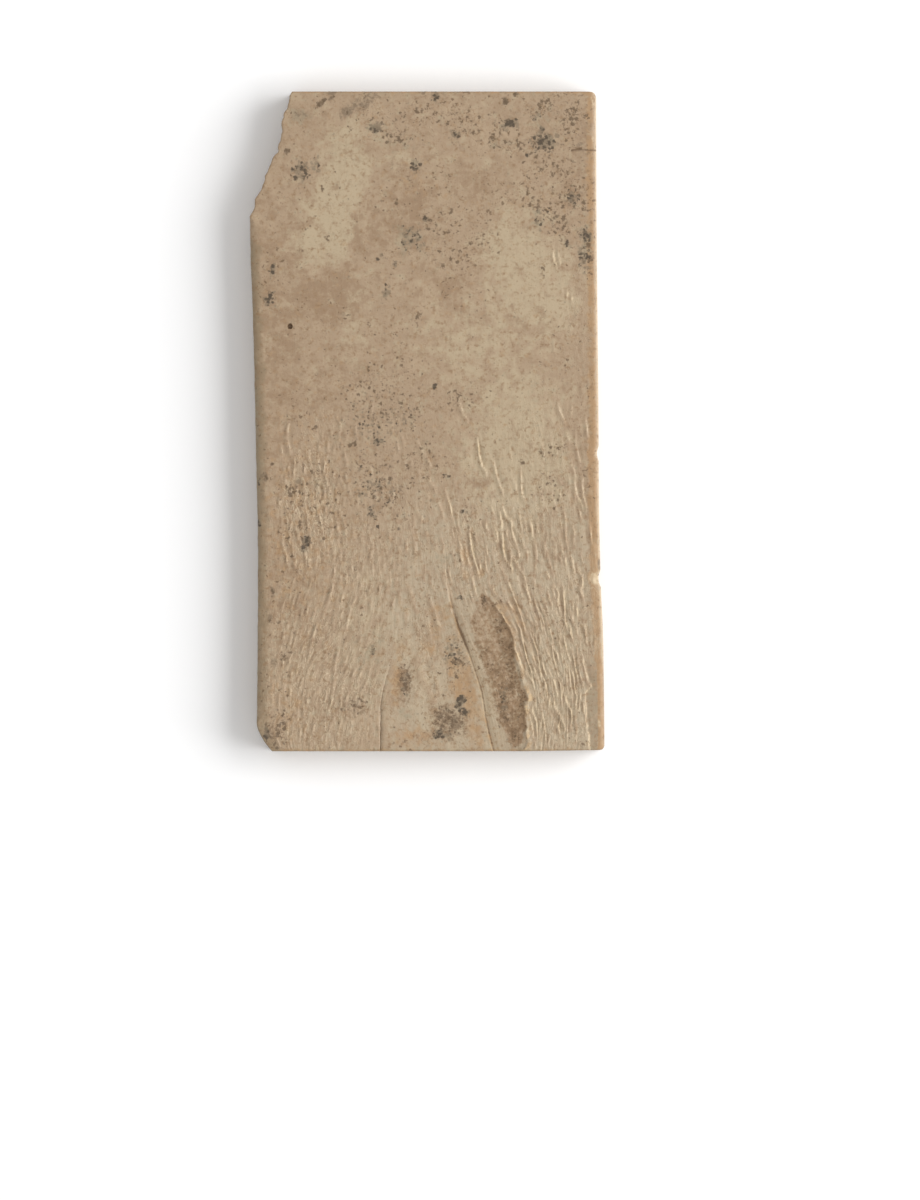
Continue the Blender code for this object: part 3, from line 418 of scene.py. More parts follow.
        (31.5, 15.8, 0.7, 1.3, 0, 0.75), (32.2, 13.6, 0.7, 1.1, 0, 0.75), (30.5, 10.3, 0.7, 1.1, 0, 0.65),
        (32.3, 10.9, 0.8, 0.6, 0, 0.7), (33.1, 8.6, 0.8, 1.3, 0, 0.7), (32.2, 4.3, 1.1, 1.0, 0, 0.85),
        (33.2, 2.0, 0.8, 0.8, 0, 0.75), (29.5, 19.0, 0.5, 0.7, 0, 1.0),
    ],
    "soot": [
        (6.3, 73.1, 1.15, 1.3, 0, 0.85), (8.2, 73.8, 0.7, 0.95, 0, 0.75), (16.0, 78.5, 0.95, 0.95, 0, 0.7),
        (20.9, 73.8, 0.7, 0.9, -20, 0.8), (21.9, 67.3, 0.7, 0.7, 0, 0.75), (20.9, 64.3, 1.6, 1.5, 0, 0.66),
        (16.3, 62.1, 0.7, 0.5, 0, 0.75), (18.2, 61.3, 0.28, 0.25, 0, 1.2), (2.9, 60.7, 0.5, 0.9, 0, 0.85),
        (2.5, 57.1, 0.75, 0.95, -20, 0.85), (17.2, 58.0, 0.5, 1.0, 0, 0.75), (23.6, 82.4, 0.8, 0.7, 0, 0.72),
        (32.6, 79.1, 1.4, 0.9, 0, 0.88), (25.9, 77.7, 0.8, 0.65, 0, 0.74), (36.0, 80.0, 0.55, 0.5, 0, 0.8),
        (36.8, 78.4, 0.5, 0.5, 0, 0.82), (37.1, 76.8, 1.5, 1.1, 0, 1.02), (35.0, 75.2, 0.35, 0.3, 0, 0.85),
        (38.6, 77.5, 0.3, 0.3, 0, 0.9), (40.8, 69.8, 1.1, 0.9, 0, 0.75), (42.3, 65.0, 0.9, 0.85, 0, 0.76),
        (40.1, 63.9, 0.4, 0.45, 0, 0.95), (42.1, 62.1, 0.8, 1.6, 0, 0.75), (36.4, 66.4, 0.7, 0.7, 0, 0.65),
        (36.8, 68.1, 1.3, 0.5, 0, 0.6), (23.3, 46.0, 0.42, 0.45, 0, 1.1), (16.0, 39.2, 0.95, 0.6, 0, 0.8),
        (15.9, 33.6, 1.6, 1.9, 0, 0.48), (15.4, 29.9, 0.85, 1.3, 0, 0.55), (16.2, 28.4, 0.28, 0.28, 0, 0.8),
        (18.7, 28.0, 0.22, 0.22, 0, 0.8), (21.8, 29.9, 0.25, 0.25, 0, 0.85), (22.8, 31.6, 0.3, 0.3, 0, 0.85),
        (14.0, 35.7, 0.3, 0.3, 0, 1.0), (15.4, 34.9, 0.35, 0.3, 0, 1.0), (24.8, 34.8, 0.8, 0.5, 0, 0.65),
        (26.8, 30.1, 0.55, 0.3, 0, 0.75), (26.6, 6.2, 0.65, 0.95, 0, 1.2), (27.0, 5.1, 0.5, 0.75, 20, 1.15),
        (25.6, 12.4, 1.2, 1.7, 0, 0.60), (15.5, 12.7, 0.3, 0.8, 0, 0.7), (7.1, 26.3, 0.6, 1.15, -15, 0.88),
        (1.2, 34.0, 0.25, 0.7, 0, 0.9), (1.2, 28.6, 0.25, 0.6, 0, 0.9), (2.1, 2.2, 0.45, 0.8, 0, 0.85),
        (16.5, 41.5, 4.0, 3.0, 0, 0.36), (26.5, 19.4, 0.3, 0.3, 0, 0.9), (36.9, 71.3, 0.3, 0.3, 0, 0.7),
        (19.5, 7.6, 0.5, 1.0, 0, 0.58), (24.2, 2.0, 1.4, 0.6, 0, 0.8), (32.0, 6.5, 0.7, 2.0, 0, 0.6),
    ],
}


def smooth(value, start, end):
    share = np.clip((value - start) / (end - start), 0.0, 1.0)
    return share * share * (3 - 2 * share)


def curve(points, places):
    # smooth curve through a few (place, value) points
    spots, values = np.array(points, float).T
    count = len(spots)
    after = np.minimum(np.arange(count) + 1, count - 1)
    before = np.maximum(np.arange(count) - 1, 0)
    slopes = (values[after] - values[before]) / (spots[after] - spots[before])
    places = np.clip(places, spots[0], spots[-1])
    n = np.clip(np.searchsorted(spots, places, side="right") - 1, 0, count - 2)
    gap = spots[n + 1] - spots[n]
    s = (places - spots[n]) / gap
    ends = values[n] * (1 + 2 * s) * (1 - s) ** 2 + values[n + 1] * s * s * (3 - 2 * s)
    return ends + slopes[n] * gap * s * (1 - s) ** 2 - slopes[n + 1] * gap * s * s * (1 - s)


chance = np.random.default_rng(leaf["seed"])
latticeSize = 256
lattice = chance.uniform(-1.0, 1.0, (latticeSize, latticeSize))
askewTurn = (0.8, 0.6)  # cosine and sine of how far noise is turned
# A notch's depth and how far it shifts, and the sizes of their noise, as shares of the gap between notches
notch = {"depth": 1.3, "shift": 0.35, "depthNoise": 0.37, "shiftNoise": 0.29}


def ripple(x, y, size, layer=0):
    # smooth noise from -1 to 1 whose bumps are about one size apart
    x, y = np.broadcast_arrays(x / size + 17.3 * layer, y / size + 41.9 * layer)
    column, row = np.floor(x).astype(int), np.floor(y).astype(int)
    across, up = smooth(x - column, 0, 1), smooth(y - row, 0, 1)
    near = lattice[row % latticeSize, column % latticeSize] * (1 - across)
    near = near + lattice[row % latticeSize, (column + 1) % latticeSize] * across
    far = lattice[(row + 1) % latticeSize, column % latticeSize] * (1 - across)
    far = far + lattice[(row + 1) % latticeSize, (column + 1) % latticeSize] * across
    return near * (1 - up) + far * up


def roughness(x, y, size, layer=0, steps=3):
    # a few ripples on top of each other, each half as wide and high as the last
    return sum(ripple(x, y, size / 2**n, layer + n) / 2**n for n in range(steps))


def band(value, start, full, fade, end):
    # 0 up to the start, 1 from full to fade, and 0 again from the end
    return smooth(value, start, full) * (1 - smooth(value, fade, end))


def askew(x, up):
    # turned places, so that wide patches of noise don't line up with the sides
    cosine, sine = askewTurn
    return cosine * x + sine * up, cosine * up - sine * x


def notches(up, apart, layer):
    # straight-sided notches from about -1 to 1, about this far apart
    spots = np.arange(0.0, leafLength + 2 * apart, apart)
    depths = notch["depth"] * ripple(spots, 0 * spots, notch["depthNoise"] * apart, layer)
    shifts = notch["shift"] * apart * ripple(spots, 0 * spots, notch["shiftNoise"] * apart, layer + 1)
    return np.interp(up, spots + shifts, depths)


def breakShare(up):
    return np.maximum((up - (leafLength - leaf["breakHeight"])) / leaf["breakHeight"], 0.0)


def cornerInset(distance, radius):
    near = np.clip(radius - distance, 0.0, radius)
    return radius - np.sqrt(radius**2 - near**2)


def leftEdge(up):
    inset = curve(leaf["leftSide"], up / leafLength)
    inset = inset + leaf["chipWidth"] * np.clip(1 - up / leaf["chipHeight"], 0, 1) ** leaf["chipBulge"]
    broken = breakShare(up)
    inset = inset + leaf["breakWidth"] * broken
    for start, end, depth in leaf["breakBites"]:
        bite = np.clip((broken - start) / (end - start), 0, 1)
        inset = inset + depth * np.sin(np.pi * bite)
    rough = smooth(broken, 0, leaf["breakBlend"])
    (wide, wideApart), (fine, fineApart) = leaf["breakWaver"]
    waver = wide * roughness(up, 0 * up, wideApart, 31) + fine * ripple(up, 0 * up, fineApart, 33)
    whole, more, apart = leaf["sideWaver"]
    return inset + rough * waver + roughness(up, 0 * up, apart, 3) * (whole + more * rough)


def rightEdge(up):
    inset = curve(leaf["rightSide"], up / leafLength)
    inset = inset + cornerInset(leafLength - up, leaf["topCornerRadius"])
    inset = inset + cornerInset(up, leaf["bottomCornerRadius"])
    for place, bite, radius in leaf["sideNotches"]:
        reach = np.clip(1 - ((up - place) / radius) ** 2, 0, 1)
        inset = inset + np.maximum(radius * np.sqrt(reach) - radius + bite, 0)
    return leafWidth - inset


def leftArris(up):
    sharp = np.maximum(
        smooth(up, leafLength - leaf["breakHeight"] - leaf["leftArris"][0], leafLength - leaf["breakHeight"]),
        1 - smooth(up, leaf["chipHeight"], leaf["chipHeight"] + leaf["leftArris"][0]),
    )
    width = leaf["leftArris"][0] + (leaf["breakArris"][0] - leaf["leftArris"][0]) * sharp
    drop = leaf["leftArris"][1] + (leaf["breakArris"][1] - leaf["leftArris"][1]) * sharp
    return width, drop


def onLine(name, up):
    return leafWidth * curve(leaf[name], up / leafLength)


def crackPath(up):
    sway, apart = leaf["crackWander"]
    return onLine("crackLine", up) + sway * roughness(up, 0 * up, apart, 35)


def rounded(inset, width, drop):
    near = np.clip(1 - inset / width, 0.0, 1.0)
    return drop * (1 - np.sqrt(1 - near**2))


def spread(start, end, step):
    return list(np.linspace(start, end, max(2, math.ceil((end - start) / step) + 1))[:-1])


def rowHeights():
    # heights of the rows, fine where the face is flaked or broken
    lowEnd = [leaf["endArris"][0] * share for share in leaf["endRows"]]
    highEnd = [leafLength - height for height in reversed(lowEnd)]
    flakedEnd = leafLength * leaf["flakedTop"]
    breakStart = leafLength - leaf["breakHeight"] - leaf["leftArris"][0]
    rows = lowEnd[:-1] + spread(lowEnd[-1], flakedEnd, leaf["flakedRow"])
    rows += spread(flakedEnd, breakStart, leaf["plainRow"])
    scratchLow, scratchHigh, scratchStep = leaf["scratchRows"]
    rows += spread(breakStart, scratchLow, leaf["brokenRow"])
    rows += spread(scratchLow, scratchHigh, scratchStep)
    rows += spread(scratchHigh, highEnd[0], leaf["brokenRow"])
    return np.array(rows + highEnd)


def grainKnots(up):
    # where the main grain lines cross each row, from the left side to the right
    left, right = leftEdge(up), rightEdge(up)
    crack, groove, strip = crackPath(up), onLine("grooveLine", up), onLine("stripGrain", up)
    halfCrack = leaf["crackWidth"] / 2
    halfGroove, halfStrip = leaf["grooveWall"] / 2, leaf["stripWall"] / 2
    return np.stack([
        left,
        left + leftArris(up)[0],
        onLine("sweepLine", up),
        crack - halfCrack,
        crack + halfCrack,
        groove - halfGroove,
        groove + halfGroove,
        groove + leaf["troughWidth"],
        onLine("ridgeLine", up),
        strip - halfStrip,
        strip + halfStrip,
        right - leaf["rightArris"][0],
        right,
    ], axis=1)


def columnShares(knots):
    # each column as the stretch between two grain lines and its share of that stretch
    columns = []
    last = len(knots) - 2
    fineStart = onLine("grooveLine", leafLength) - leaf["fineLead"]
    for n, (start, end) in enumerate(zip(knots, knots[1:])):
        step = leaf["fineColumnStep"] if start > fineStart else leaf["columnStep"]
        count = max(2, round((end - start) / step))
        if n == 0:
            shares = 1 - np.cos(np.linspace(0, np.pi / 2, count + 1))
        elif n == last:
            shares = np.sin(np.linspace(0, np.pi / 2, count + 1))
        else:
            shares = np.linspace(0, 1, count + 1)
        columns += [(n, share) for share in shares[:-1]]
    return columns + [(last, 1.0)]


def betweenLines(knots, stretch, share):
    return knots[:, stretch] * (1 - share) + knots[:, stretch + 1] * share


def grainPath(knots, share):
    # a line that follows the grain, from its share of the width at the plain upper end
    plain = knots[len(knots) // 2]
    place = np.interp(share * leafWidth, plain, np.arange(len(plain)))
    stretch = min(int(place), len(plain) - 2)
    return betweenLines(knots, stretch, place - stretch)


def addScarp(raised, x, rows, path, height, climb, fall):
    # skin that climbs gently to the line and breaks off to its right
    past = x[rows] - path[:, None]
    gentle = np.clip(1 + past / climb, 0, 1) ** scarpWay["climbBend"]
    steep = 1 - smooth(past, 0, fall)
    raised[rows] += height[:, None] * np.where(past < 0, gentle, steep)


def taper(up, low, high):
    # 0 at both ends of a scarp and 1 over most of it
    middle = np.sin(np.pi * np.clip((up - low) / (high - low), 0, 1))
    return middle ** scarpWay["taperBend"]


def placedScarps(x, up):
    raised = np.zeros_like(x)
    sway, swaySize = scarpWay["sway"]
    uneven, unevenSize = scarpWay["uneven"]
    swayStep, unevenStep = scarpWay["noiseSteps"]
    for number, (height, climb, points) in enumerate(scarps):
        places = np.array(sorted((spot[1], spot[0]) for spot in points))
        low, high = places[0, 0] - scarpWay["pastEnds"], places[-1, 0] + scarpWay["pastEnds"]
        rows = np.flatnonzero((up > low) & (up < high))
        path = np.interp(up[rows], places[:, 0], places[:, 1])
        path += sway * roughness(up[rows], swayStep * number, swaySize, 2)
        share = 1 + uneven * ripple(up[rows], unevenStep * number, unevenSize, 4)
        strength = height * taper(up[rows], low, high) * share
        addScarp(raised, x, rows, path, strength, climb, scarpWay["fall"])
    return raised


def varied(name):
    # a share drawn between the least and the most of what varies in a run
    return chance.uniform(*scarpWay[name])


def runningScarps(x, up, knots):
    raised = np.zeros_like(x)
    jag, jagSize = scarpWay["jag"]
    runStep, startStep, shareStep = scarpWay["runNoiseSteps"]
    for number, run in enumerate(scarpRuns):
        left, right, low, high, spacing, length, gap, height, climb, wander, lean = run
        share = left
        while share < right:
            path = grainPath(knots, share)
            top = high - scarpWay["fray"] * chance.uniform(0.0, 1.0) * (high - low)
            start = low + varied("starts") * length
            while start < top:
                long = length * varied("lengths")
                end = min(start + long, top + length / scarpWay["pastTop"])
                rows = np.flatnonzero((up > start) & (up < end))
                if len(rows) > scarpWay["fewestRows"]:
                    seed = runStep * number + startStep * start + shareStep * share
                    line = path[rows] + varied("asides") * spacing
                    line = line + wander * roughness(up[rows], seed, scarpWay["wanderSize"], 5)
                    line = line + jag * ripple(up[rows], seed, jagSize, 6)
                    line = line - lean * (up[rows] - (start + end) / 2)
                    strength = height * varied("heights") * taper(up[rows], start, end)
                    addScarp(raised, x, rows, line, strength, climb * varied("climbs"), scarpWay["runFall"])
                start = end + gap * varied("gaps")
            share += spacing / leafWidth * varied("spacings")
    return raised


def leaningGrain(x, up, plain):
    # place across the fine relief, which leans right going up in the fan and left in the upper half
    low, high = scale["fanHeights"]
    fan = scale["fanLean"] * (np.clip(up, low, high) - low) * (1 - smooth(x, *scale["fanEdge"]))
    return plain - fan + scale["highLean"] * np.maximum(up - scale["highStart"], 0)


def smallScales(up, leaning, here):
    # rows of scales along the grain, each climbing to the right and breaking off there
    raised = np.zeros_like(leaning)
    sway, swaySize, swayDrawn = scale["sway"]
    patchSize, patchDrawn = scale["patches"]
    for number, (width, height) in enumerate(scale["sizes"]):
        place = leaning / width + sway * roughness(leaning, up / swayDrawn, swaySize, 11 + number)
        share = place - np.floor(place)
        climb = (share / (1 - scale["steepShare"])) ** scale["climbBend"]
        shape = np.where(share < 1 - scale["steepShare"], climb, (1 - share) / scale["steepShare"])
        patches = smooth(roughness(leaning, up / patchDrawn, patchSize, 14 + number), *scale["patchEdge"])
        raised += height * shape * patches * here
    return raised


def fineWrinkles(up, leaning, here):
    # thin winding crests, where a drawn-out noise passes through zero
    raised = np.zeros_like(leaning)
    bend, bendSize = wrinkle["bend"]
    patchSize, patchDrawn = wrinkle["patches"]
    bent = leaning + bend * roughness(leaning, up, bendSize, 27)
    for number, (spacing, drawn, height) in enumerate(wrinkle["sizes"]):
        noise = roughness(bent, up / drawn, spacing, 20 + 3 * number, 2)
        patches = smooth(ripple(leaning, up / patchDrawn, patchSize, 29 + number), *wrinkle["patchEdge"])
        raised += height * np.clip(1 - np.abs(noise) * wrinkle["thinness"], 0, 1) * patches * here
    return raised


def evenedOut(raised):
    # the mean height round each point
    reach = leaf["evenedReach"]
    weights = np.ones(reach) / reach
    for axis in (0, 1):
        raised = np.apply_along_axis(np.convolve, axis, raised, weights, "same")
    return raised


def grooveFade(up):
    return 1 - smooth(up / leafLength, leaf["grooveFull"], leaf["grooveTop"])


def grooveShape(x, up):
    past = x - onLine("grooveLine", up) + leaf["grooveWall"] / 2
    toRidge = onLine("ridgeLine", up) - x
    wall, trough = leaf["grooveWall"], leaf["troughWidth"] + leaf["grooveWall"] / 2
    depth = leaf["grooveDepth"] * np.clip(past / wall, 0, 1)
    depth = depth + (leaf["troughDepth"] - leaf["grooveDepth"]) * smooth(past, wall, trough)
    slope = smooth(past, trough, trough + leaf["hollowSlope"])
    depth = depth + (leaf["hollowDepth"] - leaf["troughDepth"]) * slope
    stepShare, stepWidth = leaf["rimStep"]
    sides = (1 - stepShare) * smooth(toRidge, 0, leaf["rimSlope"])
    sides = sides + stepShare * smooth(jaggedRim(up) - x, 0, stepWidth)
    inside = grooveFade(up) * sides * (past > 0)
    return depth * inside, inside * (1 - slope)


def jaggedRim(up):
    # the line along which the rim of the hollow is broken
    return onLine("ridgeLine", up) + sum(far * notches(up, apart, 16) for far, apart in leaf["rimJags"])


def porousPatch(x, up):
    # the porous patch, from the trough right up to the rim, with ragged borders
    far, apart = leaf["porousRagged"]
    ragged = far * roughness(*askew(x, up), apart, 13)
    fromTrough = x - onLine("porousLine", up) + ragged
    toRim = onLine("porousRight", up) + jaggedRim(up) - onLine("ridgeLine", up) - x
    toRim = toRim + leaf["porousRaggedRim"] * ragged
    toTop = leaf["porousTop"] * leafLength - up + leaf["porousRaggedTop"] * ragged
    leftFade, rimFade, topFade = leaf["porousFades"]
    return smooth(fromTrough, *leftFade) * smooth(toRim, *rimFade) * smooth(toTop, *topFade)


def crackShape(x, up):
    opened = np.clip(1 - up / leaf["crackTop"], 0, 1) ** leaf["crackTaper"]
    fromCrack = np.abs(x - crackPath(up))
    return opened * np.clip(1 - fromCrack / (leaf["crackWidth"] / 2 + leaf["crackSoft"]), 0, 1)


def scratchShapes(x, up):
    # how deep the scratches go, and how much of each point is scored
    depth, scored = np.zeros_like(x), np.zeros_like(x)
    sway, swaySize = scratchSway
    share, uneven, apart = scratchBreaks
    for number, (deep, half, points) in enumerate(scratches):
        line = np.array(points)
        height = np.interp(x, line[:, 0], line[:, 1]) + sway * ripple(x, x, swaySize, number)
        along = (x > line[0, 0]) & (x < line[-1, 0])
        kept = np.clip(share + uneven * ripple(x, 0 * x, apart, 5 + number), 0, 1)
        mark = kept * along * np.clip(1 - np.abs(up - height) / (2 * half), 0, 1)
        depth += deep * mark
        scored = np.maximum(scored, mark)
    return depth, scored


def leafFace():
    # place and height of every point of the face, with the masks that its finish needs
    rows = rowHeights()
    knots = grainKnots(rows)
    columns = columnShares(knots[len(rows) // 2])
    x = np.stack([betweenLines(knots, stretch, share) for stretch, share in columns], axis=1)
    up = rows[:, None] + np.zeros_like(x)
    plain = x[len(rows) // 2][None, :] + np.zeros_like(x)
    print("face laid out:", len(rows), "rows and", len(columns), "columns")

    depth, trough = grooveShape(x, up)
    porous = porousPatch(x, up)
    stripJag, jagApart = leaf["stripJag"]
    stripEdge = onLine("stripLine", up) + stripJag * ripple(up, 0 * up, jagApart, 21)
    stripFade = 1 - smooth(up / leafLength, leaf["stripFull"], leaf["stripTop"])
    strip = stripFade * smooth(x, stripEdge - leaf["stripWall"] / 2, stripEdge + leaf["stripWall"] / 2)
    depth = depth + leaf["stripDepth"] * strip

    flaked = 1 - smooth(up / leafLength, leaf["flakedFull"], leaf["flakedTop"])
    rightHalf = smooth(x / leafWidth, leaf["flakedLeft"] - leaf["flakedBlend"],
                       leaf["flakedLeft"] + leaf["flakedBlend"])
    flaked = flaked * (leaf["flakedLeftShare"] + (1 - leaf["flakedLeftShare"]) * rightHalf) * (1 - strip)
    ridgeGap = np.abs(x - jaggedRim(up))
    stands, uneven, apart, most = leaf["rimUneven"]
    broken = np.clip(stands + uneven * roughness(x, up, apart, 18), 0.0, most)
    rim = grooveFade(up) * broken * np.clip(1 - ridgeGap / leaf["rimWidth"], 0, 1)
    here = np.clip(blots(x, up, scaly), 0, 1)
    leaning = leaningGrain(x, up, plain)
    spared = (1 - relief["lostPorous"] * porous) * (1 - relief["lostTrough"] * trough)
    spared = spared * (1 - relief["lostStrip"] * strip)
    proud = placedScarps(x, rows) + runningScarps(x, rows, knots)
    proud = (proud + smallScales(up, leaning, here) + fineWrinkles(up, leaning, here)) * spared
    sunk = leaf["skinDepth"] + leaf["flakedDepth"] * flaked + leaf["evenedShare"] * evenedOut(proud)
    depth = depth + sunk - leaf["rimHeight"] * rim - proud

    # Grain: long fine streaks, stronger where the skin is gone
    streak = sum(strength * ripple(plain, up / drawn, size, layer)
                 for layer, (strength, drawn, size) in enumerate(relief["streaks"], 1))
    depth = depth - relief["streakDepth"] * (relief["streakOnSkin"] + flaked) * streak
    waveDepth, waveSize = relief["waves"]
    depth = depth - waveDepth * roughness(x, up, waveSize, 6)
    depth = depth - leaf["porousPits"] * porous * roughness(*askew(x, up), leaf["porousPitSize"], 8)

    crack = crackShape(x, up)
    scratchDepth, scored = scratchShapes(x, up)
    depth = depth + leaf["crackDepth"] * crack + scratchDepth

    # Worn arrises, uneven along their length
    leftWidth, leftDrop = leftArris(up)
    uneven, apart = leaf["arrisUneven"]
    leftWidth = leftWidth * (1 + uneven * roughness(up, 0 * up, apart, 9))
    depth = depth + rounded(x - leftEdge(up), leftWidth, leftDrop)
    depth = depth + rounded(rightEdge(up) - x, *leaf["rightArris"])
    depth = depth + rounded(np.minimum(up, leafLength - up), *leaf["endArris"])
    for place, bite, radius, reach in leaf["sideFlakes"]:
        fromMiddle = ((x - (rightEdge(up) - bite + radius)) ** 2 + (up - place) ** 2) / radius**2
        depth = np.maximum(depth, reach * np.sqrt(np.clip(1 - fromMiddle, 0, 1)))
    depth = np.maximum(depth, 0.0)

    climb = smooth(x / leafWidth, leaf["bottomRiseStart"], 1.0)
    lift = leaf["bottomRise"] * climb * (1 - up / leafLength) ** leaf["bottomRiseFade"]
    forms = {"trough": trough, "porous": porous, "strip": strip, "rim": rim, "crack": crack, "scored": scored,
             "flaked": flaked, "proud": proud, "streak": streak}
    masks = faceMasks(x, up, depth, forms)
    masks["wrinkled"] = here * spared
    masks["grainAcross"] = plain
    masks["leaningAcross"] = leaning
    return x, up + lift, leafThick - depth, masks


# How the finish, with its painted highlights and shade, follows the shape, lengths in mm
wearAndLight = {
    "bankWidth": 0.32,
    "footPlace": 0.20,  # the darker foot of the groove's wall, right of the bank's crest
    "footWidths": (0.14, 0.30),
    "footDark": (0.70, 1.0),
    "footWide": (11.5, 14.5, 18.5, 21.0),  # heights over which the foot widens and narrows again
    "bandEdge": (0.8, 1.8),
    "bandTop": (62.0, 68.0),
    "palestLine": (0.08, 0.42),
    "highlightEdge": (0.06, 0.36),
    "tanEdge": (0.2, 0.5, 0.8, 1.6),
    "stripEdge": (0.65, 0.95),
    "stripArris": (0.08, 0.25, 0.55, 0.90),
    "rightTan": (0.86, 0.25, 2.6),  # how strong the tan band is, how far that wavers, over what length
    "tanLostStrip": 0.8,
    "highlightLostStrip": 0.6,
    "bandSway": (0.3, 2.0),
    "endEdge": (0.08, 0.38),
    "rimBand": (-0.15, 0.12, 0.28, 0.75),
    "rimBreaks": (0.20, 1.5, 0.7),  # how much of the rim is fresh, how patchy it is, and the patches' size
    # the rim also gets the painted highlight colour
    "rimHighlight": 0.2,
    "rimAmber": 0.4,
    "worn": (0.45, 0.6, 1.4),  # how worn the groove's bank is, how patchy that is, and the patches' size
    "bankHoney": 0.45,
    "bankAmber": 0.8,
    "endAmber": 0.8,
    # Flakes that face the lamp, which get the painted highlight colour
    "lit": (0.8, 0.5, 1.2),  # how much of it, how patchy that is, and the patches' size
    "litLostBank": 0.7,
    "litLostCrack": 0.9,
    "litLeft": 0.70,  # how much of it they keep left of the middle
    "litLeftEdge": (14, 22),
    "innerLeft": 1.3,  # none lies nearer to the left side than this, nor to the right side
    "innerRight": 0.8,
    "leastStep": 0.03,
    "sootiest": 0.95,
    "crackBeside": 0.35,
    # painted shade in the crack, and on slopes that face away from the lamp
    "crackShade": 0.9,
    "awayShade": 0.28,
    "fullRelief": 0.09,
    "troughBare": 0.8,
    "steepest": 0.60,
    "stripVeil": 0.9,
    "sootVeil": 0.3,
    "endVeil": 0.7,
    "sideVeil": 0.7,
    "streakShows": (0.45, 0.55),  # how much the streaks show on whole skin, and how much more where flaked
    "rough": (0.10, 1.1, 0.05),  # how rough whole skin is, how much more where flaked, and the least
    "fewFreckles": 0.20,
    "freckleSway": 0.24,
    "frecklePatch": 2.6,
    "frecklesUpperRight": 0.14,
    "upperRight": [(22, 33), (55, 64)],  # where it sets in, across and up
    "frecklesOnPale": -0.36,
    "porousDirt": (0.43, 0.26, 0.22),  # dirt of the porous patch, how much more low down and at its rim
    "porousPatchy": (0.16, 1.6),
    "porousPaler": (8.0, 17.0),  # heights over which it gets paler
    "porousDeeper": 2.0,  # it is darkest this near to its rim
}


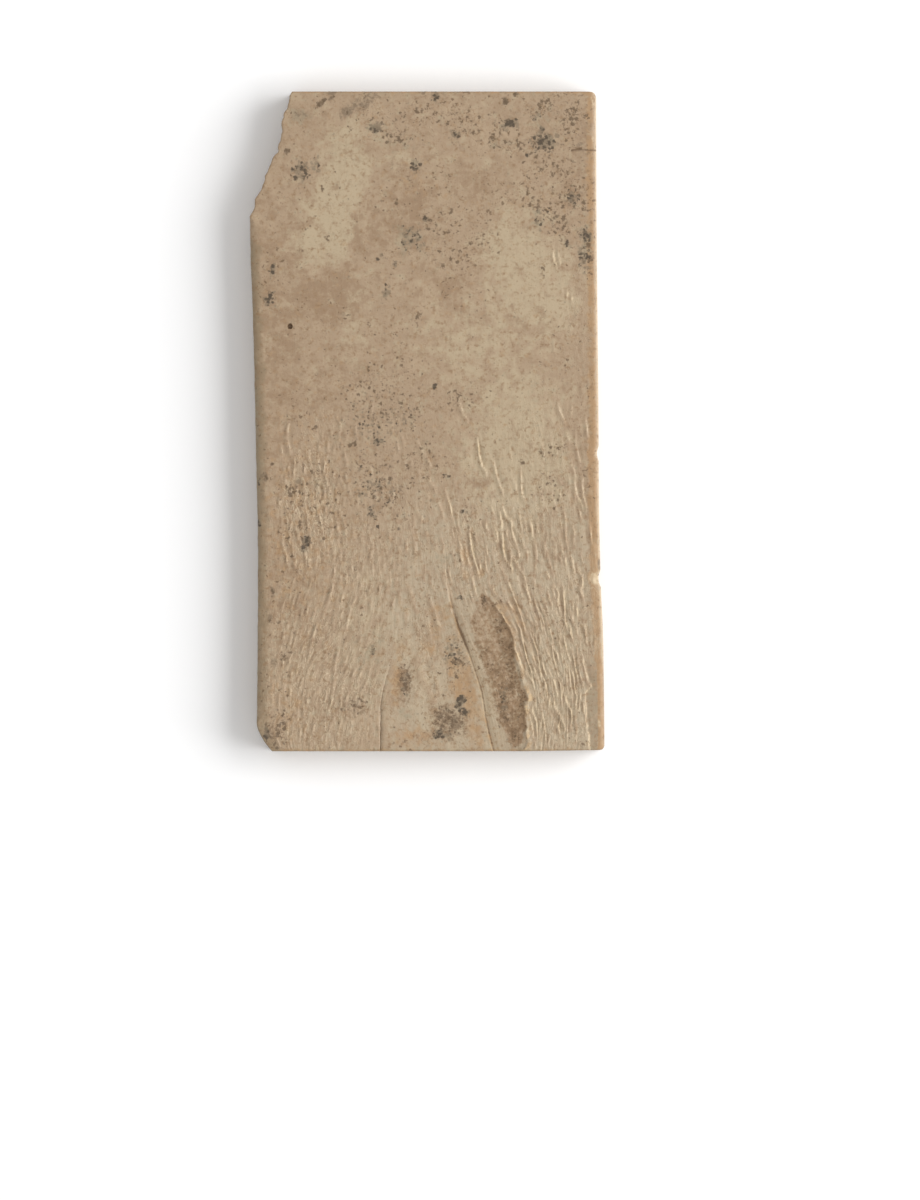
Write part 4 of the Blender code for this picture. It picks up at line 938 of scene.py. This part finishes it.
def faceMasks(x, up, depth, forms):
    masks = {name: blots(x, up, marks) for name, marks in stainsAndHighlights.items()}
    masks["soot"] = np.minimum(masks["soot"], wearAndLight["sootiest"])
    slope = np.gradient(depth, axis=1) / np.maximum(np.gradient(x, axis=1), wearAndLight["leastStep"])
    toLight, fromLight = np.clip(slope / wearAndLight["steepest"], 0, 1), np.clip(-slope / wearAndLight["steepest"], 0, 1)
    fromLeft, fromRight = x - leftEdge(up), rightEdge(up) - x
    inner = (fromLeft > wearAndLight["innerLeft"]) & (fromRight > wearAndLight["innerRight"])
    solid = 1 - forms["porous"]

    # Groove, and the darker line at its foot
    fromBank = x - onLine("grooveLine", up)
    onBank = np.exp(-((fromBank / wearAndLight["bankWidth"]) ** 2)) * grooveFade(up)
    wide = band(up, *wearAndLight["footWide"])
    footWidth = np.interp(wide, (0, 1), wearAndLight["footWidths"])
    foot = np.exp(-(((fromBank - wearAndLight["footPlace"]) / footWidth) ** 2)) * grooveFade(up)
    foot = foot * np.interp(wide, (0, 1), wearAndLight["footDark"])

    # Porous patch
    heavy = 1 - smooth(up, *wearAndLight["porousPaler"])
    nearRim = 1 - smooth(onLine("ridgeLine", up) - x, 0, wearAndLight["porousDeeper"])
    least, lowDown, atRim = wearAndLight["porousDirt"]
    patchiness, patchSize = wearAndLight["porousPatchy"]
    dirt = least + lowDown * heavy + atRim * nearRim + patchiness * roughness(*askew(x, up), patchSize, 3)
    masks["porous"] = forms["porous"] * dirt

    # Flakes that face the light get painted highlights, and slopes that face away from it get painted shade
    share, patchiness, patchSize = wearAndLight["lit"]
    lit = toLight * inner * solid * (1 - wearAndLight["litLostBank"] * onBank) * (1 - foot)
    lit = lit * (share + patchiness * ripple(x, up, patchSize, 22))
    besideCrack = (np.abs(x - crackPath(up)) < wearAndLight["crackBeside"]) & (up < leaf["crackTop"])
    lit = lit * (1 - wearAndLight["litLostCrack"] * besideCrack)
    lit = lit * (wearAndLight["litLeft"] + (1 - wearAndLight["litLeft"]) * smooth(x, *wearAndLight["litLeftEdge"]))
    # painted highlights on flakes that face the lamp and on the rim, over the pale chips
    masks["freshAndHighlight"] = masks["freshAndHighlight"] + lit + wearAndLight["rimHighlight"] * forms["rim"]
    # Darker at the groove's foot and in scratches; painted shade in the crack and on slopes facing away
    masks["deep"] = np.clip(foot + wearAndLight["crackShade"] * forms["crack"] + forms["scored"], 0, 1)
    masks["deep"] = masks["deep"] + wearAndLight["awayShade"] * fromLight * solid * inner
    masks["bare"] = forms["flaked"] * np.clip(1 - forms["proud"] / wearAndLight["fullRelief"], 0, 1) * solid
    masks["bare"] = np.maximum(masks["bare"], wearAndLight["troughBare"] * forms["trough"])
    masks["bare"] = masks["bare"] * np.clip(1 - masks["amber"], 0, 1)
    masks["amber"] = masks["amber"] * (1 - forms["trough"]) * solid

    # Worn bank and rim of the groove
    share, patchiness, patchSize = wearAndLight["worn"]
    worn = np.clip(share + patchiness * roughness(x, up, patchSize, 24), 0, 1)
    onRim = band(x - jaggedRim(up), *wearAndLight["rimBand"]) * grooveFade(up)
    share, patchiness, patchSize = wearAndLight["rimBreaks"]
    chipped = np.clip(share + patchiness * roughness(x, up, patchSize, 28), 0, 1)
    masks["honey"] = chipped * onRim + wearAndLight["bankHoney"] * onBank * worn
    masks["amber"] = masks["amber"] + wearAndLight["bankAmber"] * onBank * worn + wearAndLight["rimAmber"] * onRim

    # Ends and long sides
    atEnds = 1 - smooth(np.minimum(up, leafLength - up), *wearAndLight["endEdge"])
    masks["amber"] = masks["amber"] + wearAndLight["endAmber"] * atEnds
    inStrip = forms["strip"] * smooth(fromRight, *wearAndLight["stripEdge"])
    tan, waver, apart = wearAndLight["rightTan"]
    tan = tan + waver * ripple(up, 0 * up, apart, 26)
    rightBand = tan * band(fromRight, *wearAndLight["tanEdge"]) * (1 - wearAndLight["tanLostStrip"] * inStrip)
    masks["amber"] = masks["amber"] + rightBand + forms["strip"] * band(fromRight, *wearAndLight["stripArris"])
    # a painted highlight along the right arris, which faces the lamp
    masks["edgeHighlight"] = 1 - smooth(fromRight, *wearAndLight["highlightEdge"])
    masks["edgeHighlight"] = masks["edgeHighlight"] * (1 - wearAndLight["highlightLostStrip"] * forms["strip"])
    sway, apart = wearAndLight["bandSway"]
    fromBand = fromLeft + sway * roughness(up, 0 * up, apart, 17)
    below = 1 - smooth(up, *wearAndLight["bandTop"])
    # the olive-brown band along the worn left arris, darkened partly as painted shade of that arris
    masks["band"] = (1 - smooth(fromBand, *wearAndLight["bandEdge"])) * below
    masks["veil"] = masks["veil"] + wearAndLight["stripVeil"] * inStrip + wearAndLight["sootVeil"] * masks["soot"]
    masks["veil"] = masks["veil"] + wearAndLight["endVeil"] * atEnds
    masks["veil"] = masks["veil"] + wearAndLight["sideVeil"] * (1 - smooth(fromLeft, *wearAndLight["palestLine"])) * below

    # Streaks, roughness, freckles and rings
    onSkin, onFlaked = wearAndLight["streakShows"]
    masks["streak"] = (0.5 + 0.5 * forms["streak"]) * (onSkin + onFlaked * forms["flaked"])
    onSkin, onFlaked, least = wearAndLight["rough"]
    masks["rough"] = onSkin + onFlaked * forms["flaked"] + forms["porous"] - forms["strip"]
    masks["rough"] = np.clip(masks["rough"], least, 1)
    patchy = wearAndLight["freckleSway"] * roughness(x, up, wearAndLight["frecklePatch"], 12)
    fromAcross, fromUp = wearAndLight["upperRight"]
    upperRight = smooth(x, *fromAcross) * smooth(up, *fromUp)
    masks["freckle"] = wearAndLight["fewFreckles"] + patchy + wearAndLight["frecklesUpperRight"] * upperRight
    masks["freckle"] = masks["freckle"] + wearAndLight["frecklesOnPale"] * np.clip(masks["pale"], 0, 1)
    sway, apart = ringSway
    for across, height, radius, half, strength in rings:
        away = np.hypot(x - across, up - height) + sway * roughness(x, up, apart, 19)
        ring = strength * np.exp(-(((away - radius) / half) ** 2))
        masks["ruddy"] = np.maximum(masks["ruddy"], ring)
    return masks


blotWay = {
    "largeFrom": 1.3,  # a blot is large where both its half lengths are over this
    "largeBend": (1.1, 3.6),  # how far the large ones are bent, and over what length
    "smallBend": (0.16, 0.9),
    "fade": (0.7, 1.5),  # how fast one fades outwards, and how even its middle is
}


def blots(x, up, marks):
    total = np.zeros_like(x)
    far, apart = blotWay["largeBend"]
    large = [far * roughness(*askew(x, up), apart, layer) for layer in (2, 7)]
    far, apart = blotWay["smallBend"]
    small = [far * roughness(x, up, apart, layer) for layer in (3, 8)]
    fade, even = blotWay["fade"]
    for across, height, halfAcross, halfUp, turn, strength in marks:
        bend = large if min(halfAcross, halfUp) > blotWay["largeFrom"] else small
        angle = math.radians(turn)
        right, above = x + bend[0] - across, up + bend[1] - height
        along = (right * math.cos(angle) + above * math.sin(angle)) / halfAcross
        aside = (above * math.cos(angle) - right * math.sin(angle)) / halfUp
        total = np.maximum(total, strength * np.exp(-fade * (along**2 + aside**2) ** even))
    return total


def openEdges(bm):
    return [edge for edge in bm.edges if edge.is_boundary]


def extrudeRim(bm, rim):
    geometry = bmesh.ops.extrude_edge_only(bm, edges=openEdges(bm))["geom"]
    below = {}
    for vert in (item for item in geometry if isinstance(item, bmesh.types.BMVert)):
        neighbours = [edge.other_vert(vert) for edge in vert.link_edges]
        below[vert] = rim[next(other for other in neighbours if other in rim)]
    return below


def drillPit(bm):
    # the face is cut finer round the pit, and the points inside it go down
    across, height = leaf["pitPlace"]
    middle = Vector((leafLow.x + across * mm, leafLow.y + height * mm))
    mouth = leaf["pitRadius"] * mm
    fine = leaf["pitFine"] * mouth
    edges = [edge for edge in bm.edges if all((vert.co.xy - middle).length < fine for vert in edge.verts)]
    bmesh.ops.subdivide_edges(bm, edges=edges, cuts=leaf["pitCuts"], use_grid_fill=True)
    lipStart, lipEnd = leaf["pitLip"]
    for vert in bm.verts:
        away = vert.co.xy - middle
        if away.length > mouth * lipEnd:
            continue
        if away.length > mouth * lipStart:
            vert.co.xy = middle + away.normalized() * mouth
        else:
            steep = min((1 - away.length / mouth) / (1 - leaf["pitBottom"]), 1.0)
            vert.co.z -= leaf["pitDepth"] * mm * steep


wall = {
    "levels": (0.9, 0.72, 0.5, 0.28, 0.1, 0.0),  # heights of the side's rings, as shares of its own
    "finishKept": 0.55,  # what each ring below the first keeps of the stains and painted light above it
    "endSpare": 0.05,  # the broken side isn't hollow this near to the upper end
    "grain": (0.035, 6, 1.4),  # how rough the side is, how drawn out down it, and over what length
    "torn": (0.14, 5, 1.1),  # the same for the broken corner
    "tornAlong": 1.3,
    "tornBlend": 8,
    "drawnIn": 0.02,
}


def wallPlaces(bm, rim, layers):
    # the side's rings, each taken down from the rim, rough and a little hollow at the broken corner
    lowered = []
    first = wall["levels"][0]
    for level in wall["levels"]:
        rim = extrudeRim(bm, rim)
        for vert, top in rim.items():
            under = leaf["underArris"] * mm
            vert.co = Vector((top.x, top.y, under + (top.z - under) * level))
            lowered.append((vert, level))
            if level < first:
                fadeMasks(vert, layers, wall["finishKept"])
    bm.normal_update()
    grain, grainDrawn, grainSize = wall["grain"]
    torn, tornDrawn, tornSize = wall["torn"]
    for vert, level in lowered:
        across, height = (vert.co.x - leafLow.x) / mm, (vert.co.y - leafLow.y) / mm
        broken = float(breakShare(height)) * (vert.co.x < 0)
        if broken > 0 and height < leafLength - wall["endSpare"]:
            hollow = math.sin(math.pi * min(broken, 1.0)) * math.sin(math.pi * level)
            vert.co.x += leaf["breakHollow"] * mm * hollow
        out = Vector((vert.normal.x, vert.normal.y, 0))
        if out.length > 0 and 0 < level < first:
            along = height * wall["tornAlong"] + across
            rough = grain * float(roughness(height + across, grainDrawn * level, grainSize, 5))
            ragged = torn * float(roughness(along, tornDrawn * level, tornSize, 9))
            ragged = ragged * min(broken * wall["tornBlend"], 1.0)
            vert.co += out.normalized() * (rough + ragged - wall["drawnIn"]) * mm
    return rim


def fadeMasks(vert, layers, share):
    # stains, wear, painted highlights and painted shade fade down the sides, and the grain keeps its place
    for name, layer in layers.items():
        if not name.endswith("Across"):
            vert[layer] *= share


# Where each part of the leaf lies on its map: lower left corner, and size of a millimetre
mapPlaces = {"face": (0.010, 0.010, 0.01178), "under": (0.555, 0.010, 0.00950)}
mapStrips = {"left": 0.81, "right": 0.86, "lower": 0.91, "upper": 0.96}  # heights of the side walls' strips
mapStrip = {"start": 0.555, "size": 0.00515, "rise": 0.0052}
mapFlat = 0.4  # what looks up or down by more than this is face or underside, not wall


def mapPlace(normal, place):
    # the face and the underside are laid flat, and each wall is unrolled into its strip
    across, up, height = ((place - leafLow) / mm).to_tuple()
    if abs(normal.z) > mapFlat:
        startAcross, startUp, size = mapPlaces["face" if normal.z > 0 else "under"]
        return startAcross + across * size, startUp + up * size
    if abs(normal.x) > abs(normal.y):
        along, side = up, "left" if normal.x < 0 else "right"
    else:
        along, side = across, "lower" if normal.y < 0 else "upper"
    return mapStrip["start"] + along * mapStrip["size"], mapStrips[side] + height * mapStrip["rise"]


def layOutMap(bm):
    bm.normal_update()
    layer = bm.loops.layers.uv.new("OFBake")
    for face in bm.faces:
        for loop in face.loops:
            loop[layer].uv = mapPlace(face.normal, loop.vert.co)


def leafMesh():
    x, up, height, masks = leafFace()
    rows, columns = x.shape
    bm = bmesh.new()
    bmesh.ops.create_grid(bm, x_segments=columns - 1, y_segments=rows - 1, size=0.5)
    layers = {name: bm.verts.layers.float.new(name) for name in masks}
    places = np.stack([leafLow.x + x * mm, leafLow.y + up * mm, leafLow.z + height * mm], axis=2)
    for vert in bm.verts:
        column = round((vert.co.x + 0.5) * (columns - 1))
        row = round((vert.co.y + 0.5) * (rows - 1))
        vert.co = places[row, column]
        for name, layer in layers.items():
            vert[layer] = masks[name][row, column]
    print("face shaped")

    drillPit(bm)
    rim = {vert: vert.co.copy() for edge in openEdges(bm) for vert in edge.verts}
    rim = wallPlaces(bm, rim, layers)
    under = leaf["underArris"]
    drawnIn = Vector((1 - 2 * under / leafWidth, 1 - 2 * under / leafLength, 0))
    for vert in extrudeRim(bm, rim):
        vert.co *= drawnIn
        fadeMasks(vert, layers, 0.0)
        for name in ("grainAcross", "leaningAcross"):
            vert[layers[name]] = (vert.co.x - leafLow.x) / mm
    bmesh.ops.contextual_create(bm, geom=openEdges(bm))
    bmesh.ops.recalc_face_normals(bm, faces=bm.faces)
    layOutMap(bm)
    mesh = bpy.data.meshes.new("ivoryLeaf")
    bm.to_mesh(mesh)
    bm.free()
    mesh.shade_smooth()
    mesh.set_sharp_from_angle(angle=math.radians(leaf["sharpAngle"]))
    return mesh


# The leaf's finish, in layers from the ground colour up. A layer has its mask, its colour, the size of its
# mottling in mm, how much the mottling breaks it up, where it starts and is full, and its strength. A layer
# of dots shows a round dot round each of many scattered points, wider where its mask is stronger.
finish = {
    "ground": (0.345, 0.244, 0.154, 1.0),
    "layers": [
        ("mottle", None, (0.410, 0.300, 0.192, 1.0), 4.5, 3.2, -0.1, 0.7, 0.60),
        ("mottle", None, (0.288, 0.195, 0.117, 1.0), 2.0, 3.6, 0.0, 0.8, 0.60),
        ("mottle", None, (0.245, 0.160, 0.094, 1.0), 0.90, 3.4, 0.1, 0.9, 0.50),
        ("mottle", "pale", (0.416, 0.326, 0.210, 1.0), 1.4, 3.0, 0.0, 0.9, 0.92),
        ("mottle", "ruddy", (0.268, 0.174, 0.100, 1.0), 1.3, 3.4, 0.1, 0.9, 0.85),
        ("mottle", "bare", (0.400, 0.324, 0.222, 1.0), 0.7, 1.8, 0.2, 1.0, 0.75),
        ("mottle", "amber", (0.356, 0.216, 0.105, 1.0), 1.0, 2.6, 0.1, 0.9, 0.90),
        ("mottle", None, (0.425, 0.320, 0.205, 1.0), 0.75, 3.6, 0.1, 0.9, 0.50),
        ("fibre", None, (0.262, 0.180, 0.110, 1.0), 0.55, 3.4, 0.15, 1.0, 0.50),
        ("fibre", None, (0.460, 0.362, 0.238, 1.0), 0.40, 3.4, 0.25, 1.1, 0.45),
        ("mottle", None, (0.262, 0.178, 0.108, 1.0), 0.34, 3.0, 0.15, 1.0, 0.26),
        ("fibre", "streak", (0.450, 0.352, 0.230, 1.0), 0.24, 2.0, 0.40, 1.1, 0.45),
        # light and dark dashes where the face is rough: pale fibre edges, with painted highlights and shade
        # of fine ridges
        ("fibre", "rough", (0.500, 0.398, 0.268, 1.0), 0.20, 3.2, 1.15, 1.9, 0.50),
        ("fibre", "rough", (0.205, 0.138, 0.086, 1.0), 0.17, 3.2, 1.20, 2.0, 0.55),
        # thin lines on the wrinkled skin: painted shade (dark) and painted highlights (light) of fine crests
        ("crest", "wrinkled", (0.250, 0.168, 0.102, 1.0), 0.62, 0.0, 0.20, 0.95, 0.40),
        ("crest", "wrinkled", (0.540, 0.430, 0.285, 1.0), 0.80, 0.0, 0.20, 0.95, 0.60),
        ("crest", "wrinkled", (0.520, 0.412, 0.272, 1.0), 0.50, 0.0, 0.25, 0.95, 0.45),
        # olive-brown band of the left arris, partly painted shade
        ("mottle", "band", (0.235, 0.170, 0.098, 1.0), 0.9, 2.0, 0.1, 1.2, 0.75),
        # pale chips, with painted highlights on the rim and on flakes that face the lamp
        ("mottle", "freshAndHighlight", (0.540, 0.425, 0.272, 1.0), 0.6, 1.6, 0.2, 1.0, 0.85),
        ("mottle", "honey", (0.555, 0.395, 0.222, 1.0), 0.5, 3.0, 0.2, 1.0, 0.85),
        # painted highlight along the right arris
        ("mottle", "edgeHighlight", (0.560, 0.440, 0.300, 1.0), 1.0, 1.2, 0.3, 1.1, 0.80),
        ("mottle", "veil", (0.262, 0.218, 0.142, 1.0), 0.7, 3.4, 0.2, 1.1, 0.50),
        ("mottle", "porous", (0.240, 0.146, 0.072, 1.0), 0.55, 3.6, 0.05, 0.85, 0.85),
        ("mottle", "porous", (0.150, 0.086, 0.040, 1.0), 1.10, 4.2, 0.65, 1.40, 0.60),
        ("mottle", "earth", (0.170, 0.102, 0.050, 1.0), 0.5, 3.6, 0.20, 1.2, 0.70),
        ("mottle", "smear", (0.165, 0.116, 0.070, 1.0), 0.5, 2.6, 0.20, 1.0, 0.75),
        # dark foot and scratches, with painted shade in the crack and on slopes facing away from the lamp
        ("mottle", "deep", (0.110, 0.062, 0.028, 1.0), 0.4, 0.8, 0.2, 1.0, 0.85),
        ("dots", "porous", (0.085, 0.046, 0.018, 1.0), 0.32, 2.0, 0.15, 0.70, 0.60),
        ("dots", "earth", (0.075, 0.042, 0.017, 1.0), 0.55, 2.6, 0.10, 0.60, 0.65),
        ("dots", "freckle", (0.160, 0.092, 0.042, 1.0), 0.46, 2.2, 0.12, 0.50, 0.55),
        ("dots", "freckle", (0.120, 0.070, 0.031, 1.0), 0.85, 2.6, 0.12, 0.48, 0.75),
        ("dots", "smudge", (0.130, 0.080, 0.038, 1.0), 0.44, 2.2, -0.01, 0.41, 0.65),
        ("dots", "smudge", (0.100, 0.060, 0.028, 1.0), 0.80, 2.4, -0.08, 0.34, 0.80),
        ("dots", "soot", (0.150, 0.114, 0.070, 1.0), 0.70, 1.6, -0.24, 0.22, 0.55),
        ("dots", "soot", (0.058, 0.038, 0.020, 1.0), 0.58, 1.8, -0.04, 0.34, 0.90),
    ],
    "dotSpread": 1.25,
    "noiseHarshness": 0.62,
    "mottleDetail": 5.0,
    "crestDetail": 2.0,
    "bumpDetail": 4.0,
    "crestWidth": 0.040,
    "crestKinks": 0.9,
    "crestStretch": 3.0,
    "crestBump": 0.5,
    "crestBumpSize": 0.80,
    "crestBumpDepth": 0.05,
    "fibreStretch": 8.0,
    "roughness": (0.48, 0.66),
    "dullSize": 1.1,
    "dullEdge": (0.3, 0.7),
    "grainBump": 0.6,
    "grainBumpDepth": 0.030,
    "grainBumpSize": 0.32,
    "fibreBump": 0.7,
    "fibreBumpDepth": 0.09,
    "fibreBumpSize": 0.28,
}


def addMath(tree, operation, first, second):
    made = tree.nodes.new("ShaderNodeMath")
    made.operation = operation
    for socket, value in zip(made.inputs, (first, second)):
        if isinstance(value, (int, float)):
            socket.default_value = value
        else:
            tree.links.new(value, socket)
    return made.outputs[0]


def addNoise(tree, place, size, detail=3.0, kinks=0.0):
    made = tree.nodes.new("ShaderNodeTexNoise")
    made.inputs["Scale"].default_value = 1 / (size * mm)
    made.inputs["Detail"].default_value = detail
    made.inputs["Roughness"].default_value = finish["noiseHarshness"]
    made.inputs["Distortion"].default_value = kinks
    tree.links.new(place, made.inputs["Vector"])
    return made.outputs["Fac"]


def addCrests(tree, place, size):
    # thin kinked lines, where a drawn-out noise passes its middle
    noise = addNoise(tree, place, size, finish["crestDetail"], finish["crestKinks"])
    away = addMath(tree, "ABSOLUTE", addMath(tree, "SUBTRACT", noise, 0.5), 0.0)
    return addRamp(tree, away, finish["crestWidth"], 0.0, 0.0, 1.0)


def addDots(tree, place, size):
    made = tree.nodes.new("ShaderNodeTexVoronoi")
    made.inputs["Scale"].default_value = 1 / (size * mm)
    tree.links.new(place, made.inputs["Vector"])
    return made.outputs["Distance"]


def addGrainPlace(tree, place, name, stretch):
    # coordinates that run along the grain, so that a noise on them is drawn out
    parts = tree.nodes.new("ShaderNodeSeparateXYZ")
    tree.links.new(place, parts.inputs[0])
    joined = tree.nodes.new("ShaderNodeCombineXYZ")
    across = addMath(tree, "MULTIPLY", addMask(tree, name), mm)
    tree.links.new(across, joined.inputs["X"])
    tree.links.new(addMath(tree, "DIVIDE", parts.outputs["Y"], stretch), joined.inputs["Y"])
    tree.links.new(parts.outputs["Z"], joined.inputs["Z"])
    return joined.outputs[0]


def addRamp(tree, value, start, end, low, high):
    made = tree.nodes.new("ShaderNodeMapRange")
    made.interpolation_type = "SMOOTHSTEP"
    for name, number in (("From Min", start), ("From Max", end), ("To Min", low), ("To Max", high)):
        made.inputs[name].default_value = number
    tree.links.new(value, made.inputs["Value"])
    return made.outputs["Result"]


def addMask(tree, name):
    made = tree.nodes.new("ShaderNodeAttribute")
    made.attribute_name = name
    return made.outputs["Fac"]


def addLayer(tree, under, amount, colour):
    made = tree.nodes.new("ShaderNodeMix")
    made.data_type = "RGBA"
    tree.links.new(amount, made.inputs["Factor"])
    if isinstance(under, tuple):
        made.inputs[6].default_value = under
    else:
        tree.links.new(under, made.inputs[6])
    made.inputs[7].default_value = colour
    return made.outputs[2]


def addBump(tree, height, strength, depth, under=None):
    made = tree.nodes.new("ShaderNodeBump")
    made.inputs["Strength"].default_value = strength
    made.inputs["Distance"].default_value = depth * mm
    tree.links.new(height, made.inputs["Height"])
    if under:
        tree.links.new(under, made.inputs["Normal"])
    return made.outputs["Normal"]


def layerAmount(tree, places, kind, name, size, breakUp, start, full, strength):
    place = places.get(kind, places["mottle"])
    if kind == "crest":
        pattern = addMath(tree, "MULTIPLY", addCrests(tree, place, size), addMask(tree, name))
        return addRamp(tree, pattern, start, full, 0.0, strength)
    if kind == "dots":
        pattern = addMath(tree, "MULTIPLY", addDots(tree, place, size), -finish["dotSpread"])
        rough = addMath(tree, "SUBTRACT", addNoise(tree, place, size / 2), 0.5)
        pattern = addMath(tree, "ADD", pattern, addMath(tree, "MULTIPLY", rough, breakUp))
    else:
        noise = addNoise(tree, place, size, finish["mottleDetail"])
        pattern = addMath(tree, "MULTIPLY", addMath(tree, "SUBTRACT", noise, 0.5), breakUp)
    if name:
        pattern = addMath(tree, "ADD", addMask(tree, name), pattern)
    return addRamp(tree, pattern, start, full, 0.0, strength)


def agedIvory():
    material = bpy.data.materials.new("agedIvory")
    material.use_nodes = True
    tree = material.node_tree
    shader = tree.nodes["Principled BSDF"]
    place = tree.nodes.new("ShaderNodeTexCoord").outputs["Object"]
    places = {"mottle": place}
    places["fibre"] = addGrainPlace(tree, place, "grainAcross", finish["fibreStretch"])
    places["crest"] = addGrainPlace(tree, place, "leaningAcross", finish["crestStretch"])
    colour = finish["ground"]
    for kind, name, tint, *numbers in finish["layers"]:
        colour = addLayer(tree, colour, layerAmount(tree, places, kind, name, *numbers), tint)
    tree.links.new(colour, shader.inputs["Base Color"])
    dull = addNoise(tree, place, finish["dullSize"])
    dull = addRamp(tree, dull, *finish["dullEdge"], *finish["roughness"])
    tree.links.new(dull, shader.inputs["Roughness"])
    fibres = addNoise(tree, places["fibre"], finish["fibreBumpSize"], finish["bumpDetail"])
    fibres = addMath(tree, "MULTIPLY", fibres, addMask(tree, "rough"))
    normal = addBump(tree, fibres, finish["fibreBump"], finish["fibreBumpDepth"])
    crests = addCrests(tree, places["crest"], finish["crestBumpSize"])
    crests = addMath(tree, "MULTIPLY", crests, addMask(tree, "wrinkled"))
    normal = addBump(tree, crests, finish["crestBump"], finish["crestBumpDepth"], normal)
    grain = addNoise(tree, place, finish["grainBumpSize"], finish["bumpDetail"])
    normal = addBump(tree, grain, finish["grainBump"], finish["grainBumpDepth"], normal)
    tree.links.new(normal, shader.inputs["Normal"])
    return material


# The studio. The camera looks straight down, as the photo does, with the leaf up its frame.
studio = {
    "aim": (4.14, -22.51),  # mm from the middle of the leaf's box to the middle of the picture
    "frameHeight": 151.2,  # mm that the picture's long side takes in at the leaf's face
    "lens": 300.0,
    "sensor": 36.0,
    "farthest": 10.0,
    "floorSize": 3.0,
    "floorColour": (0.93, 0.93, 0.93, 1.0),
    "floorRoughness": 0.9,
    "floorShine": 0.1,
    "skyColour": (1.0, 1.0, 1.0, 1.0),
    "skyStrength": 0.68,
    "keyPlace": (0.80, 0.06, 0.58),
    "keySize": 0.90,
    "keyPower": 11.2,
}


def layFloor():
    bm = bmesh.new()
    bmesh.ops.create_grid(bm, x_segments=1, y_segments=1, size=studio["floorSize"] / 2)
    mesh = bpy.data.meshes.new("floor")
    bm.to_mesh(mesh)
    bm.free()
    paper = bpy.data.materials.new("palePaper")
    paper.use_nodes = True
    sockets = paper.node_tree.nodes["Principled BSDF"].inputs
    sockets["Base Color"].default_value = studio["floorColour"]
    sockets["Roughness"].default_value = studio["floorRoughness"]
    sockets["Specular IOR Level"].default_value = studio["floorShine"]
    mesh.materials.append(paper)
    floor = bpy.data.objects.new("floor", mesh)
    bpy.context.scene.collection.objects.link(floor)


def lightStudio():
    world = bpy.data.worlds.new("studio")
    world.use_nodes = True
    sockets = world.node_tree.nodes["Background"].inputs
    sockets["Color"].default_value = studio["skyColour"]
    sockets["Strength"].default_value = studio["skyStrength"]
    bpy.context.scene.world = world
    lamp = bpy.data.lights.new("key", "AREA")
    lamp.size = studio["keySize"]
    lamp.energy = studio["keyPower"]
    key = bpy.data.objects.new("key", lamp)
    key.location = studio["keyPlace"]
    key.rotation_euler = (-Vector(studio["keyPlace"])).to_track_quat("-Z", "Y").to_euler()
    bpy.context.scene.collection.objects.link(key)
    bpy.context.scene.view_settings.view_transform = "Standard"


def setCamera():
    lens = bpy.data.cameras.new("camera")
    lens.lens = studio["lens"]
    lens.sensor_width = studio["sensor"]
    lens.clip_end = studio["farthest"]
    camera = bpy.data.objects.new("camera", lens)
    distance = studio["frameHeight"] * studio["lens"] / studio["sensor"]
    camera.location = (studio["aim"][0] * mm, studio["aim"][1] * mm, (leafThick + distance) * mm)
    bpy.context.scene.collection.objects.link(camera)
    bpy.context.scene.camera = camera


setCamera()
layFloor()
lightStudio()
print("studio set")

ivoryLeaf = bpy.data.objects.new("ivoryLeaf", leafMesh())
bpy.context.scene.collection.objects.link(ivoryLeaf)
ivoryLeaf.data.materials.append(agedIvory())
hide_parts("tablet")
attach(ivoryLeaf, "root")
print("leaf made:", sum(len(face.vertices) - 2 for face in ivoryLeaf.data.polygons), "triangles")
